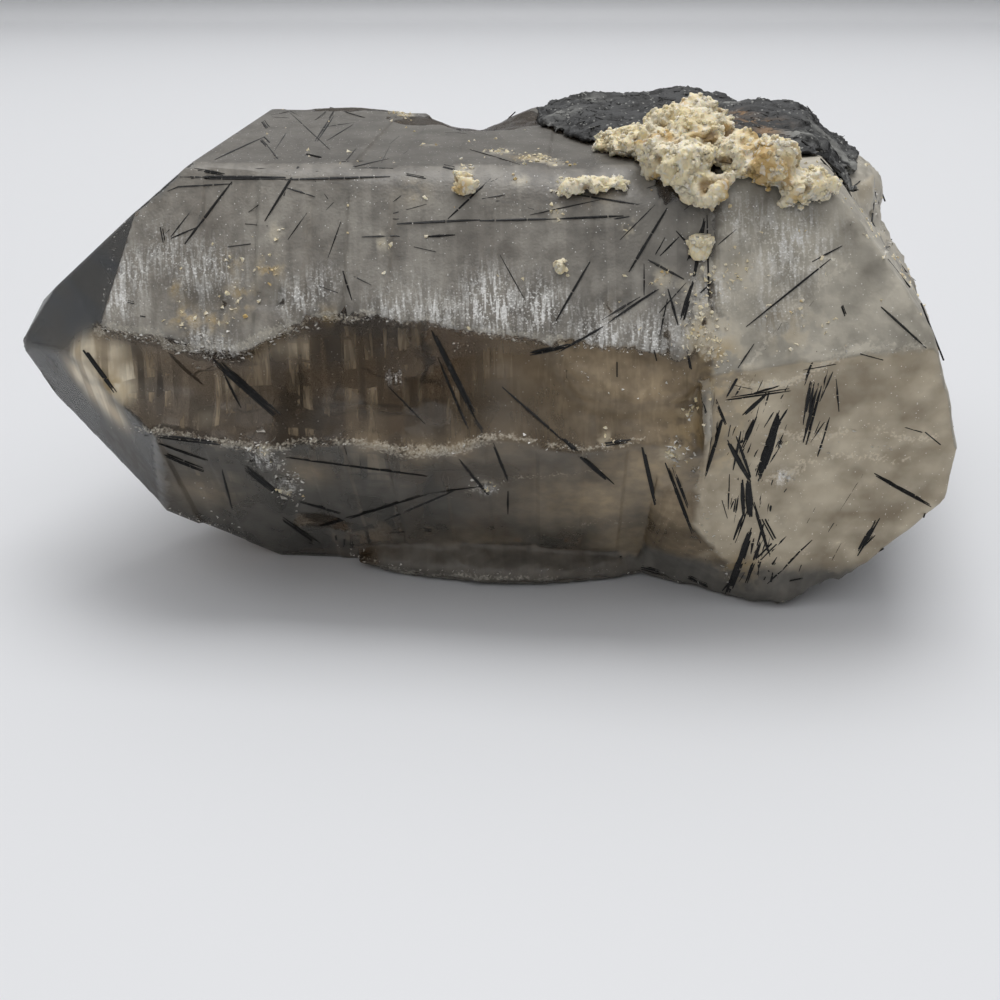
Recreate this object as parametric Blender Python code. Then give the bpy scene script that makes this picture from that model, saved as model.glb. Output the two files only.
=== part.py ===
"""Tourmalinated smoky quartz point: one large crystal lying on a prism face.

A six-sided quartz crystal with a pointed end lies on its side, its tip to the left (-X).
Its blunt end is grown together with a broken second mass behind it. A mat of black
tourmaline covers the top of that mass, cream feldspar is crusted over the join, and a
few black tourmaline needles lie in the surface.

All sizes are in metres, +Z up. The crystal's long axis gives three directions: towards
the tip, towards the front (-Y side) and up. A face is set by its turn around that axis,
from up (0 degrees) over the front (90 degrees), and by its reach from the axis.
"""
import math

import bmesh
import bpy
from mathutils import Matrix, Vector, geometry, noise
from mathutils.bvhtree import BVHTree

MM = 0.001
GAP = 0.35 * MM

# Driving dimensions of the main crystal
AXIS_HEIGHT = 33.0 * MM
TIP_YAW = math.radians(4.0)
BLUNT_END = -31.0 * MM
TIP_END = 90.0 * MM
PRISM_FACES = {
    "top": (0.0, 29.0 * MM),
    "upper_front": (60.0, 33.5 * MM),
    "lower_front": (120.0, 35.7 * MM),
    "underside": (180.0, AXIS_HEIGHT),
    "lower_back": (240.0, 34.0 * MM),
    "upper_back": (300.0, 36.0 * MM),
}
# The edge between the top and the upper front face is worn off, more so at the blunt end
WORN_EDGE = (30.0, 34.7 * MM)
WORN_EDGE_SLOPE = 0.031
# Growth steps: thin ledges across the prism faces, at right angles to the long axis
STEP_COUNT = 12
STEP_HEIGHT = 0.35 * MM
STEP_RUN = 0.5 * MM

# Pyramid faces of the tip: lean from the long axis, turn around it, reach from the middle
TIP_FACES = {
    "top": (51.7, 0.2, 48.7 * MM),
    "front": (51.6, 47.6, 57.2 * MM),
    "lower_front": (53.7, 109.8, 57.3 * MM),
    "underside": (51.8, 180.0, 47.2 * MM),
    "lower_back": (45.0, 240.0, 38.0 * MM),
    "upper_back": (51.8, 300.0, 53.5 * MM),
    "tip_nick": (42.3, 25.3, 60.1 * MM),
}

TOWARD_TIP = Vector((-math.cos(TIP_YAW), math.sin(TIP_YAW), 0.0))
TOWARD_FRONT = Vector((-math.sin(TIP_YAW), -math.cos(TIP_YAW), 0.0))
UPWARD = Vector((0.0, 0.0, 1.0))
MIDDLE = Vector((0.0, 0.0, AXIS_HEIGHT))


# Small helpers


def millimetres(*values):
    """A vector from values in millimetres."""
    return Vector(values) * MM


def around_axis(turn):
    """The direction at right angles to the long axis, at a turn in degrees."""
    angle = math.radians(turn)
    return UPWARD * math.cos(angle) + TOWARD_FRONT * math.sin(angle)


def leaning(lean, turn):
    """A direction that leans away from the tip direction by an angle, at a turn."""
    angle = math.radians(lean)
    return TOWARD_TIP * math.cos(angle) + around_axis(turn) * math.sin(angle)


def smoothstep(low, high, value):
    """0 below low, 1 above high, and a smooth rise between them."""
    share = min(1.0, max(0.0, (value - low) / (high - low)))
    return share * share * (3.0 - 2.0 * share)


def uneven(point, size, seed):
    """Smooth noise from about -1 to 1, with lumps of a given size."""
    place = point / size + Vector((seed * 7.31, seed * 3.17, seed * 5.73))
    return noise.noise(place) + 0.5 * noise.noise(place * 2.3)


def object_from(bm, name):
    """A new object from a bmesh, which is freed."""
    mesh = bpy.data.meshes.new(name)
    bm.to_mesh(mesh)
    bm.free()
    obj = bpy.data.objects.new(name, mesh)
    bpy.context.scene.collection.objects.link(obj)
    return obj


def discard(obj):
    """Remove a helper object."""
    bpy.data.objects.remove(obj, do_unlink=True)


def combine(target, other, operation):
    """Join, cut or intersect target with other, apply it, and remove other."""
    modifier = target.modifiers.new(operation.lower(), "BOOLEAN")
    modifier.operation = operation
    modifier.solver = "EXACT"
    modifier.object = other
    depsgraph = bpy.context.evaluated_depsgraph_get()
    result = bpy.data.meshes.new_from_object(target.evaluated_get(depsgraph))
    target.modifiers.clear()
    target.data = result
    discard(other)


def clean(obj, merge=0.01 * MM):
    """Weld the seams that the joins leave and remove slivers."""
    bm = bmesh.new()
    bm.from_mesh(obj.data)
    bmesh.ops.remove_doubles(bm, verts=bm.verts, dist=merge)
    bmesh.ops.dissolve_degenerate(bm, edges=bm.edges, dist=merge)
    bmesh.ops.triangulate(bm, faces=bm.faces)
    bm.to_mesh(obj.data)
    bm.free()


def keep_largest(obj):
    """Keep only the largest body of an object."""
    bm = bmesh.new()
    bm.from_mesh(obj.data)
    left = set(bm.verts)
    bodies = []
    while left:
        stack = [left.pop()]
        body = set(stack)
        while stack:
            for edge in stack.pop().link_edges:
                for vert in edge.verts:
                    if vert in left:
                        left.remove(vert)
                        body.add(vert)
                        stack.append(vert)
        bodies.append(body)
    largest = max(bodies, key=len)
    spare = [vert for body in bodies if body is not largest for vert in body]
    bmesh.ops.delete(bm, geom=spare, context="VERTS")
    bm.to_mesh(obj.data)
    bm.free()


def slice_off(bm, normal, reach, origin):
    """Cut away what lies beyond a plane and close the cut with one face."""
    parts = bm.verts[:] + bm.edges[:] + bm.faces[:]
    place = origin + normal * reach
    cut = bmesh.ops.bisect_plane(bm, geom=parts, dist=1e-7, plane_co=place, plane_no=normal, clear_outer=True)
    edges = [item for item in cut["geom_cut"] if isinstance(item, bmesh.types.BMEdge)]
    if edges:
        bmesh.ops.holes_fill(bm, edges=edges, sides=0)


def convex_body(planes, origin=Vector((0.0, 0.0, 0.0)), half_size=0.2):
    """A bmesh of the space inside all the planes, each a direction and a reach."""
    bm = bmesh.new()
    bmesh.ops.create_cube(bm, size=2.0 * half_size)
    for normal, reach in planes:
        slice_off(bm, normal.normalized(), reach, origin)
    bmesh.ops.recalc_face_normals(bm, faces=bm.faces)
    return bm


def plane_through(normal, *point):
    """A plane for convex_body: its direction, and its reach to a point in millimetres."""
    direction = Vector(normal).normalized()
    return direction, direction.dot(millimetres(*point))


def roughen(bm, edge, amount, size, seed):
    """Give a body a broken surface: fine faces, moved in and out by smooth noise.

    edge is the longest edge left. No point goes under the resting surface.
    """
    bmesh.ops.triangulate(bm, faces=bm.faces)
    for _ in range(8):
        long_edges = [item for item in bm.edges if item.calc_length() > edge]
        if not long_edges:
            break
        bmesh.ops.subdivide_edges(bm, edges=long_edges, cuts=1, use_grid_fill=False)
        bmesh.ops.triangulate(bm, faces=bm.faces)
    bm.normal_update()
    moves = []
    for vert in bm.verts:
        shift = uneven(vert.co, size, seed) * amount
        room = 0.3 * min(item.calc_length() for item in vert.link_edges)
        moves.append((vert, vert.normal * max(-room, min(room, shift))))
    for vert, move in moves:
        vert.co += move
        vert.co.z = max(vert.co.z, 0.0)


def broken_body(name, centre, planes, amount, size, step, seed):
    """A body inside all the planes, its faces hackly: small flat steps over smooth lumps.

    Every point is found on a straight line out from the centre, so no face folds over.
    """
    bm = bmesh.new()
    bmesh.ops.create_icosphere(bm, subdivisions=4, radius=1.0)
    for vert in bm.verts:
        outward = vert.co.normalized()
        distance = min((reach - normal.dot(centre)) / normal.dot(outward)
                       for normal, reach in planes if normal.dot(outward) > 1e-4)
        shift = uneven(centre + outward * distance, size, seed) * amount
        shift = round(shift / step) * step + 0.3 * shift
        vert.co = centre + outward * (distance + shift)
        vert.co.z = max(vert.co.z, 0.0)
    return object_from(bm, name)


# Layers that follow a prism face


def face_point(face, along, across, height=0.0):
    """A point over a prism face: along towards the tip, across it, and above it."""
    turn, reach = PRISM_FACES[face]
    sideways = around_axis(turn + 90.0)
    return MIDDLE + TOWARD_TIP * along + sideways * across + around_axis(turn) * (reach + height)


def inside_outline(point, outline):
    """Whether a 2D point lies inside a closed outline."""
    inside = False
    for start, end in zip(outline, outline[1:] + outline[:1]):
        if (start.y > point.y) != (end.y > point.y):
            crossing = start.x + (point.y - start.y) * (end.x - start.x) / (end.y - start.y)
            if point.x < crossing:
                inside = not inside
    return inside


def outline_distance(point, outline):
    """The distance of a 2D point from a closed outline."""
    nearest = 1.0
    for start, end in zip(outline, outline[1:] + outline[:1]):
        foot, share = geometry.intersect_point_line(point, start, end)
        foot = start.lerp(end, min(1.0, max(0.0, share)))
        nearest = min(nearest, (point - foot.to_2d()).length)
    return nearest


def filled_outline(outline, spacing, ragged, seed):
    """Triangles that fill an outline: its points, made ragged, and a grid inside.

    Returns the 2D points and the triangles.
    """
    border = []
    for start, end in zip(outline, outline[1:] + outline[:1]):
        steps = max(1, round((end - start).length / spacing))
        for step in range(steps):
            point = start.lerp(end, step / steps)
            wobble = uneven(Vector((point.x, point.y, 0.0)), 3.0 * MM, seed) * ragged
            border.append(point + (end - start).orthogonal().normalized() * wobble)
    points = list(border)
    rows = int(0.3 / spacing)
    for row in range(-rows, rows):
        for column in range(-rows, rows):
            shift = 0.5 * spacing if row % 2 else 0.0
            point = Vector((column * spacing + shift, row * spacing * 0.87))
            strayed = noise.noise_vector(Vector((column * 1.3, row * 1.7, seed)))
            point += strayed.to_2d() * 0.35 * spacing
            if inside_outline(point, border) and outline_distance(point, border) > 0.5 * spacing:
                points.append(point)
    edges = [(i, (i + 1) % len(border)) for i in range(len(border))]
    flat, _, triangles, _, _, _ = geometry.delaunay_2d_cdt(points, edges, [], 1, 1e-7)
    return flat, triangles


def slab(name, flat, triangles, lower, upper):
    """A closed slab over filled triangles, between two functions of the 2D point."""
    bm = bmesh.new()
    low = [bm.verts.new(lower(point)) for point in flat]
    high = [bm.verts.new(upper(point)) for point in flat]
    sides = {}
    for triangle in triangles:
        bm.faces.new([high[i] for i in triangle])
        bm.faces.new([low[i] for i in reversed(triangle)])
        for start, end in zip(triangle, triangle[1:] + triangle[:1]):
            if (end, start) in sides:
                del sides[(end, start)]
            else:
                sides[(start, end)] = True
    for start, end in sides:
        bm.faces.new((low[start], low[end], high[end], high[start]))
    bmesh.ops.recalc_face_normals(bm, faces=bm.faces)
    bmesh.ops.triangulate(bm, faces=bm.faces)
    return object_from(bm, name)


def profile(pairs, along):
    """A value read from pairs of (along, value), joined smoothly."""
    if along <= pairs[0][0]:
        return pairs[0][1]
    for (start, low), (end, high) in zip(pairs, pairs[1:]):
        if along <= end:
            return low + (high - low) * smoothstep(start, end, along)
    return pairs[-1][1]


# Quartz


def stepped_prism():
    """The main crystal's six-sided column, with growth steps across its faces."""
    turns = [turn for turn, _ in PRISM_FACES.values()]
    reaches = [reach for _, reach in PRISM_FACES.values()]
    length = 48.0 * MM - BLUNT_END
    stations = [(BLUNT_END, [0.0] * 6)]
    offsets = [0.0] * 6
    for number in range(STEP_COUNT):
        place = BLUNT_END + length * (number + 0.5 + 0.35 * noise.noise((number * 1.7, 0.3, 4.1))) / STEP_COUNT
        stations.append((place, list(offsets)))
        for side in range(6):
            raised = noise.noise((number * 2.9 + 0.37, side * 1.9, 0.7)) * 2.0
            offsets[side] = max(-1.0, min(1.0, raised)) * STEP_HEIGHT
        offsets[turns.index(180.0)] = 0.0
        stations.append((place + STEP_RUN, list(offsets)))
    stations.append((TIP_END, list(offsets)))
    bm = bmesh.new()
    rings = []
    for along, shifts in stations:
        ring = []
        for side in range(6):
            following = (side + 1) % 6
            corner = corner_point(turns[side], reaches[side] + shifts[side],
                                  turns[following], reaches[following] + shifts[following])
            ring.append(bm.verts.new(MIDDLE + TOWARD_TIP * along + corner))
        rings.append(ring)
    for first, second in zip(rings, rings[1:]):
        for side in range(6):
            following = (side + 1) % 6
            bm.faces.new((first[side], first[following], second[following], second[side]))
    bm.faces.new(rings[0])
    bm.faces.new(rings[-1])
    for lean, turn, reach in TIP_FACES.values():
        slice_off(bm, leaning(lean, turn), reach, MIDDLE)
    worn_turn, worn_reach = WORN_EDGE
    worn = around_axis(worn_turn) - TOWARD_TIP * WORN_EDGE_SLOPE
    slice_off(bm, worn.normalized(), worn_reach / worn.length, MIDDLE)
    bmesh.ops.recalc_face_normals(bm, faces=bm.faces)
    return object_from(bm, "quartz_crystal")


def corner_point(first_turn, first_reach, second_turn, second_reach):
    """Where two prism faces meet, in the plane at right angles to the long axis."""
    first = math.radians(first_turn)
    second = math.radians(second_turn)
    spread = math.sin(second - first)
    up = (first_reach * math.sin(second) - second_reach * math.sin(first)) / spread
    front = (second_reach * math.cos(first) - first_reach * math.cos(second)) / spread
    return UPWARD * up + TOWARD_FRONT * front


def blunt_end():
    """The broken blunt end: a bulge that stands forward of the prism faces."""
    turn_front, reach_front = PRISM_FACES["upper_front"]
    front_normal = around_axis(turn_front)
    planes = [
        (front_normal, front_normal.dot(MIDDLE) + reach_front + 0.8 * MM),
        plane_through((0.0, 0.0, 1.0), 35, 0, 62.5),
        plane_through((0.02, -1.0, -0.07), 40.2, -35.2, 0),
        plane_through((-0.42, -0.813, -0.405), 31, -30.2, 0),
        plane_through((0.745, -0.13, 0.654), 51, -31, 52.5),
        plane_through((0.9, -0.2, 0.33), 61, -36, 34),
        plane_through((0.97, -0.24, 0.0), 63.6, -36, 25),
        plane_through((0.45, -0.1, -0.89), 41, -35.2, 0),
        plane_through((0.76, -0.12, -0.64), 57, -36, 11.5),
        plane_through((0.0, 0.0, -1.0), 35, 0, 0),
        plane_through((-1.0, 0.0, 0.0), 22, 0, 30),
        plane_through((0.0, 1.0, 0.0), 35, 24, 30),
    ]
    bm = convex_body(planes)
    roughen(bm, 7.0 * MM, 0.55 * MM, 11.0 * MM, 3)
    return object_from(bm, "blunt_end")


def back_mass():
    """The second mass of quartz behind the blunt end, its top lower where the mat lies."""
    planes = [
        plane_through((-0.24, 0.0, 1.0), 9, 36, 62.0),
        plane_through((-0.05, -0.02, 1.0), 20, 36, 62.0),
        plane_through((0.2, -0.02, 1.0), 45, 36, 60.5),
        plane_through((0.62, -0.05, 0.78), 65, 36, 53.5),
        plane_through((1.0, -0.33, 0.08), 72.0, 36, 40),
        plane_through((0.75, 0.2, -0.6), 69, 36, 16),
        plane_through((0.7, -0.6, 0.25), 60, 2, 48),
        plane_through((0.0, 0.93, 0.36), 30, 41, 56),
        plane_through((-0.1, 1.0, -0.06), 30, 43, 34),
        plane_through((-0.05, 0.72, -0.7), 30, 37, 12),
        plane_through((-0.75, 0.6, 0.3), -5, 30, 56),
        plane_through((0.1, 0.1, -1.0), 40, 30, 4),
        plane_through((0.0, -1.0, 0.0), 30, -18, 30),
        plane_through((-1.0, 0.0, 0.0), -12, 30, 30),
    ]
    return broken_body("back_mass", millimetres(34, 20, 32), planes, 1.0 * MM, 13.0 * MM, 0.8 * MM, 8)


def rough_lump(name, place, radii, seed, amount=0.18):
    """A rounded lump with an uneven surface, radii and place in millimetres."""
    bm = bmesh.new()
    bmesh.ops.create_icosphere(bm, subdivisions=2, radius=1.0)
    for vert in bm.verts:
        vert.co *= 1.0 + amount * uneven(vert.co, 0.7, seed)
        vert.co = Vector((vert.co.x * radii[0], vert.co.y * radii[1], vert.co.z * radii[2])) * MM
        vert.co += millimetres(*place)
        vert.co.z = max(vert.co.z, 0.0)
    return object_from(bm, name)


# The break along the front: where it starts on the upper front face, from the blunt end to
# the tip, as (along, across) in millimetres
BREAK_RIM = [(-29.2, 13.4), (-27.9, 15.6), (-25.3, 16.4), (-21.4, 17.4), (-16.0, 16.7), (-12.6, 15.4),
             (-10.4, 12.0), (-9.4, 9.4), (-5.0, 9.0), (0.4, 8.1), (3.8, 7.9), (7.2, 6.9), (11.3, 6.9),
             (15.5, 6.1), (18.9, 5.9), (22.3, 6.8), (26.4, 8.0), (30.2, 10.3), (33.2, 11.4), (36.7, 11.3),
             (41.6, 10.5), (47.3, 9.6), (54.0, 8.4), (60.0, 8.0)]
BREAK_OUTSIDE = [(60.0, 32.0), (-31.0, 32.0)]
# How deep the break runs under the upper front face at its lower edge, in millimetres
BREAK_LOWER_DEPTH = [(-29.0, 2.4), (-21.5, 0.8), (-14.0, 2.8), (-2.0, 0.5), (4.0, 3.4), (10.5, 3.8),
                     (17.0, 2.2), (25.0, 2.8), (29.0, 4.6), (35.5, 3.6), (44.5, 1.8), (52.0, 1.2)]
# The shallow shelf beside the break, below the upper rim at the blunt end
SHELF_OUTLINE = [(-29.0, 12.0), (-27.8, 10.8), (-21.1, 9.8), (-15.8, 9.6), (-9.6, 9.0), (-8.6, 12.5),
                 (-11.0, 16.5), (-16.0, 18.2), (-21.4, 19.0), (-25.3, 18.0), (-29.0, 16.8)]


def outline_2d(pairs):
    """2D points in metres from pairs in millimetres."""
    return [Vector(pair) * MM for pair in pairs]


def front_break():
    """The cutter for the long conchoidal break along the lower half of the upper front face."""
    outline = outline_2d(BREAK_RIM + BREAK_OUTSIDE)
    lower_edge = 20.0 * MM

    def bottom(point):
        """A point of the broken surface, under the face."""
        share = smoothstep(7.0 * MM, lower_edge, point.y)
        wanted = profile(BREAK_LOWER_DEPTH, point.x / MM) * MM
        bowl = 1.5 * MM * math.sin(math.pi * min(1.0, max(0.0, (point.y - 6.0 * MM) / (17.0 * MM))))
        ripple = 0.35 * MM * uneven(Vector((point.x, point.y, 0.0)), 7.0 * MM, 21)
        depth = 1.1 * MM * (1.0 - share) + wanted * share + bowl + ripple
        return face_point("upper_front", point.x, point.y, -depth)

    flat, triangles = filled_outline(outline, 3.4 * MM, 0.5 * MM, 5)
    return slab("front_break", flat, triangles, bottom, lambda p: face_point("upper_front", p.x, p.y, 6.0 * MM))


def front_shelf():
    """The cutter for the shallow shelf beside the break."""

    def bottom(point):
        """A point of the shelf."""
        ripple = 0.25 * MM * uneven(Vector((point.x, point.y, 0.0)), 5.0 * MM, 9)
        return face_point("upper_front", point.x, point.y, -0.9 * MM + ripple)

    flat, triangles = filled_outline(outline_2d(SHELF_OUTLINE), 3.0 * MM, 0.4 * MM, 6)
    return slab("front_shelf", flat, triangles, bottom, lambda p: face_point("upper_front", p.x, p.y, 5.0 * MM))


def pit(face, along, across, radii, depth, seed):
    """A cutter for a small pit in a prism face, its sizes in millimetres."""
    turn = PRISM_FACES[face][0]
    bm = bmesh.new()
    bmesh.ops.create_icosphere(bm, subdivisions=2, radius=1.0)
    frame = Matrix((TOWARD_TIP, around_axis(turn + 90.0), around_axis(turn))).transposed()
    centre = face_point(face, along * MM, across * MM, 0.0)
    for vert in bm.verts:
        vert.co *= 1.0 + 0.3 * uneven(vert.co, 0.8, seed)
        stretched = Vector((vert.co.x * radii[0], vert.co.y * radii[1], vert.co.z * depth)) * MM
        vert.co = centre + frame @ stretched
    if frame.determinant() < 0.0:
        bmesh.ops.reverse_faces(bm, faces=bm.faces)
    return object_from(bm, "pit")


# Pits and broken spots: face, along, across, radii along and across, depth, all in millimetres
PITS = [
    ("upper_front", 38.8, 4.6, (3.4, 2.4), 1.6),
    ("upper_front", 29.5, 3.8, (2.6, 1.5), 1.0),
    ("upper_front", -18.5, 3.5, (2.4, 1.8), 0.9),
    ("top", 12.0, -19.5, (9.0, 5.0), 2.2),
    ("top", 3.0, -14.0, (7.0, 6.0), 2.6),
    ("lower_front", 26.0, 6.0, (5.0, 2.6), 1.2),
    ("lower_back", 20.0, 4.0, (9.0, 5.0), 1.8),
    ("upper_back", 34.0, -3.0, (8.0, 6.0), 1.6),
    ("lower_back", -8.0, -8.0, (6.0, 7.0), 2.0),
]


def build_quartz():
    """The whole quartz crystal in one solid."""
    quartz = stepped_prism()
    combine(quartz, rough_lump("rear_notch", (1, 27, 66), (17, 17, 8), 12), "DIFFERENCE")
    combine(quartz, blunt_end(), "UNION")
    combine(quartz, back_mass(), "UNION")
    combine(quartz, rough_lump("rear_lump", (-27, 25, 59.5), (13, 5, 3.4), 2), "UNION")
    combine(quartz, rough_lump("foot_lump", (2, -21.5, 1.5), (26, 9.5, 4.0), 4), "UNION")
    combine(quartz, rough_lump("foot_lump_back", (-16, 18, 3.0), (14, 8, 5.0), 6), "UNION")
    combine(quartz, front_break(), "DIFFERENCE")
    combine(quartz, front_shelf(), "DIFFERENCE")
    for number, (face, along, across, radii, depth) in enumerate(PITS):
        combine(quartz, pit(face, along, across, radii, depth, number + 30), "DIFFERENCE")
    keep_largest(quartz)
    clean(quartz)
    return quartz


# What grows on the quartz


def surface_of(obj):
    """A tree for finding where a line meets an object."""
    return BVHTree.FromObject(obj, bpy.context.evaluated_depsgraph_get())


def height_at(tree, x, y):
    """The height of the surface under a point of the plan."""
    hit = tree.ray_cast(Vector((x, y, 0.2)), Vector((0.0, 0.0, -1.0)))[0]
    return hit.z if hit else 0.0


def cut_clear(obj, quartz):
    """Cut an object back to a thin gap from the quartz."""
    bm = bmesh.new()
    bm.from_mesh(quartz.data)
    bm.normal_update()
    moves = [(vert, vert.normal * GAP) for vert in bm.verts]
    for vert, move in moves:
        vert.co += move
    combine(obj, object_from(bm, "cutter"), "DIFFERENCE")


# Feldspar lumps: x, y and radius in millimetres
CRUST_LUMPS = [(15.8, -8.5, 2.6), (18.2, -11.8, 3.4), (21, -13, 4.4), (25, -9, 5.2), (29, -2, 5.2),
               (31, 5, 4.2), (27.5, -17, 5.6), (22.3, -20.5, 4.0), (24.5, -24.5, 3.8), (27, -26.3, 3.4),
               (32.5, -22.5, 4.2), (36, -25, 4.0), (39.5, -26.8, 3.2), (42.5, -26.8, 2.2)]
STRIP_LUMPS = [(9.2, -23.5, 1.5), (11.4, -23.2, 1.7), (13.7, -22.9, 1.7), (16, -22.6, 1.5)]
CRUST_SEED = 40
LONE_BITS = {"feldspar_bit_1": (-4.6, -22.5, 1.7), "feldspar_bit_2": (8.2, -29.1, 1.4),
             "feldspar_bit_3": (26.7, -29.5, 1.6)}


def crust_lump(tree, x, y, radius, seed, spare=0.0):
    """One sugary lump, sitting in the surface below it, larger all round by spare."""
    height = height_at(tree, x * MM, y * MM) / MM + 0.28 * radius
    radii = (radius + spare, radius + spare, radius * 0.85 + spare)
    return rough_lump("lump", (x, y, height), radii, seed, 0.3)


def build_crust(name, lumps, tree, quartz, seed):
    """A crust of lumps joined in one body, clear of what it sits on."""
    first, *others = lumps
    crust = crust_lump(tree, *first, seed)
    crust.name = name
    for number, lump in enumerate(others):
        combine(crust, crust_lump(tree, *lump, seed + number + 1), "UNION")
    cut_clear(crust, quartz)
    keep_largest(crust)
    clean(crust)
    return crust


# Plan of the tourmaline mat, (x, y) in millimetres
MAT_OUTLINE = [(6, 28), (7, 12), (12, 0), (20, -8), (32, -14), (44, -16), (51, -10), (56, 2), (60, 16),
               (61, 28), (57, 35), (46, 38), (33, 39), (20, 38), (10, 35)]


def build_mat(quartz, lumps):
    """The black mat of tourmaline over the top of the back mass, clear of the lumps."""
    tree = surface_of(quartz)
    outline = outline_2d(MAT_OUTLINE)

    def top(point):
        """The mat's upper surface, thin at its border."""
        place = Vector((point.x, point.y, 0.0))
        full = smoothstep(0.0, 6.0 * MM, outline_distance(point, outline))
        ridges = uneven(Vector((place.x * 0.35, place.y, 0.0)), 4.5 * MM, 12)
        thickness = 1.1 * MM + full * (1.5 * MM + 0.8 * MM * ridges)
        place.z = height_at(tree, point.x, point.y) + thickness
        return place

    def under(point):
        """A surface safely inside the quartz."""
        return Vector((point.x, point.y, height_at(tree, point.x, point.y) - 3.0 * MM))

    flat, triangles = filled_outline(outline, 3.6 * MM, 1.2 * MM, 14)
    mat = slab("tourmaline_mat", flat, triangles, under, top)
    cut_clear(mat, quartz)
    for number, (x, y, radius) in enumerate(lumps):
        combine(mat, crust_lump(tree, x, y, radius, CRUST_SEED + number, 2.0 * GAP / MM), "DIFFERENCE")
    keep_largest(mat)
    clean(mat)
    return mat


# Needles that lie in the surface: start and end as (face, along, across, height), thickness
NEEDLES = {
    "tourmaline_needle_1": (("upper_front", 7.3, 6.0, 0.7), ("upper_front", -0.2, 20.4, -2.2), 1.1),
    "tourmaline_needle_2": (("upper_front", -9.9, 9.1, 0.75), ("upper_front", -24.0, 0.8, 0.9), 0.9),
    "tourmaline_needle_3": (("top", 29.0, 8.0, 0.9), ("top", 23.5, 14.5, 0.9), 1.1),
    "tourmaline_needle_4": (("top", 40.5, 14.0, 0.8), ("top", 16.5, 17.0, 0.8), 0.9),
}


def build_needle(name, start, end, thickness, quartz):
    """A straight six-sided needle, cut clear of the quartz it lies in."""
    first = face_point(start[0], start[1] * MM, start[2] * MM, start[3] * MM)
    last = face_point(end[0], end[1] * MM, end[2] * MM, end[3] * MM)
    bm = bmesh.new()
    radius = thickness * MM / 2.0
    bmesh.ops.create_cone(bm, cap_ends=True, segments=6, radius1=radius, radius2=radius * 0.8,
                          depth=(last - first).length)
    turned = (last - first).to_track_quat("Z", "Y").to_matrix().to_4x4()
    bm.transform(Matrix.Translation((first + last) / 2.0) @ turned)
    needle = object_from(bm, name)
    cut_clear(needle, quartz)
    keep_largest(needle)
    clean(needle)
    return needle


# Finishes


def finish(obj, colour, roughness, transmission=0.0):
    """Give an object its own Principled material."""
    material = bpy.data.materials.new(obj.name)
    material.use_nodes = True
    shader = material.node_tree.nodes["Principled BSDF"]
    shader.inputs["Base Color"].default_value = (*colour, 1.0)
    shader.inputs["Roughness"].default_value = roughness
    shader.inputs["Metallic"].default_value = 0.0
    shader.inputs["Transmission Weight"].default_value = transmission
    material.diffuse_color = (*colour, 1.0)
    obj.data.materials.clear()
    obj.data.materials.append(material)


SMOKY = (0.42, 0.38, 0.33)
BLACK = (0.02, 0.02, 0.022)
CREAM = (0.80, 0.70, 0.56)


def centre_on_base(objects):
    """Move everything so that the origin is under the middle, on the surface."""
    corners = [vert.co for obj in objects for vert in obj.data.vertices]
    low = Vector([min(corner[axis] for corner in corners) for axis in range(3)])
    high = Vector([max(corner[axis] for corner in corners) for axis in range(3)])
    shift = Vector((-(low.x + high.x) / 2.0, -(low.y + high.y) / 2.0, -low.z))
    for obj in objects:
        obj.data.transform(Matrix.Translation(shift))
    return shift


def main():
    """Build every piece."""
    for obj in list(bpy.data.objects):
        bpy.data.objects.remove(obj, do_unlink=True)
    quartz = build_quartz()
    tree = surface_of(quartz)
    crusts = [build_crust("feldspar_crust", CRUST_LUMPS, tree, quartz, CRUST_SEED)]
    crusts.append(build_crust("feldspar_strip", STRIP_LUMPS, tree, quartz, 60))
    for number, (name, lump) in enumerate(LONE_BITS.items()):
        crusts.append(build_crust(name, [lump], tree, quartz, 70 + number))
    mat = build_mat(quartz, CRUST_LUMPS)
    needles = [build_needle(name, *shape, quartz) for name, shape in NEEDLES.items()]
    finish(quartz, SMOKY, 0.15, 0.9)
    for obj in [mat] + needles:
        finish(obj, BLACK, 0.3)
    for obj in crusts:
        finish(obj, CREAM, 0.8)
    return centre_on_base([quartz, mat] + crusts + needles)


SHIFT = main()
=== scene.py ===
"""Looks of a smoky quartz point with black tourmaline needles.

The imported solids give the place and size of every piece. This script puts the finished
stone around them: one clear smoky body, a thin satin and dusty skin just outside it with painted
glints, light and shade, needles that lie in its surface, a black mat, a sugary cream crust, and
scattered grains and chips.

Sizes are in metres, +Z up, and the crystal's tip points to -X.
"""

import logging
import math
from dataclasses import dataclass, field
from enum import Enum
from itertools import product
from typing import ClassVar, NamedTuple, Sequence

import bmesh
import bpy
import numpy as np
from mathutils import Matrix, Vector, noise
from mathutils.bvhtree import BVHTree
from mathutils.kdtree import KDTree

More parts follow.
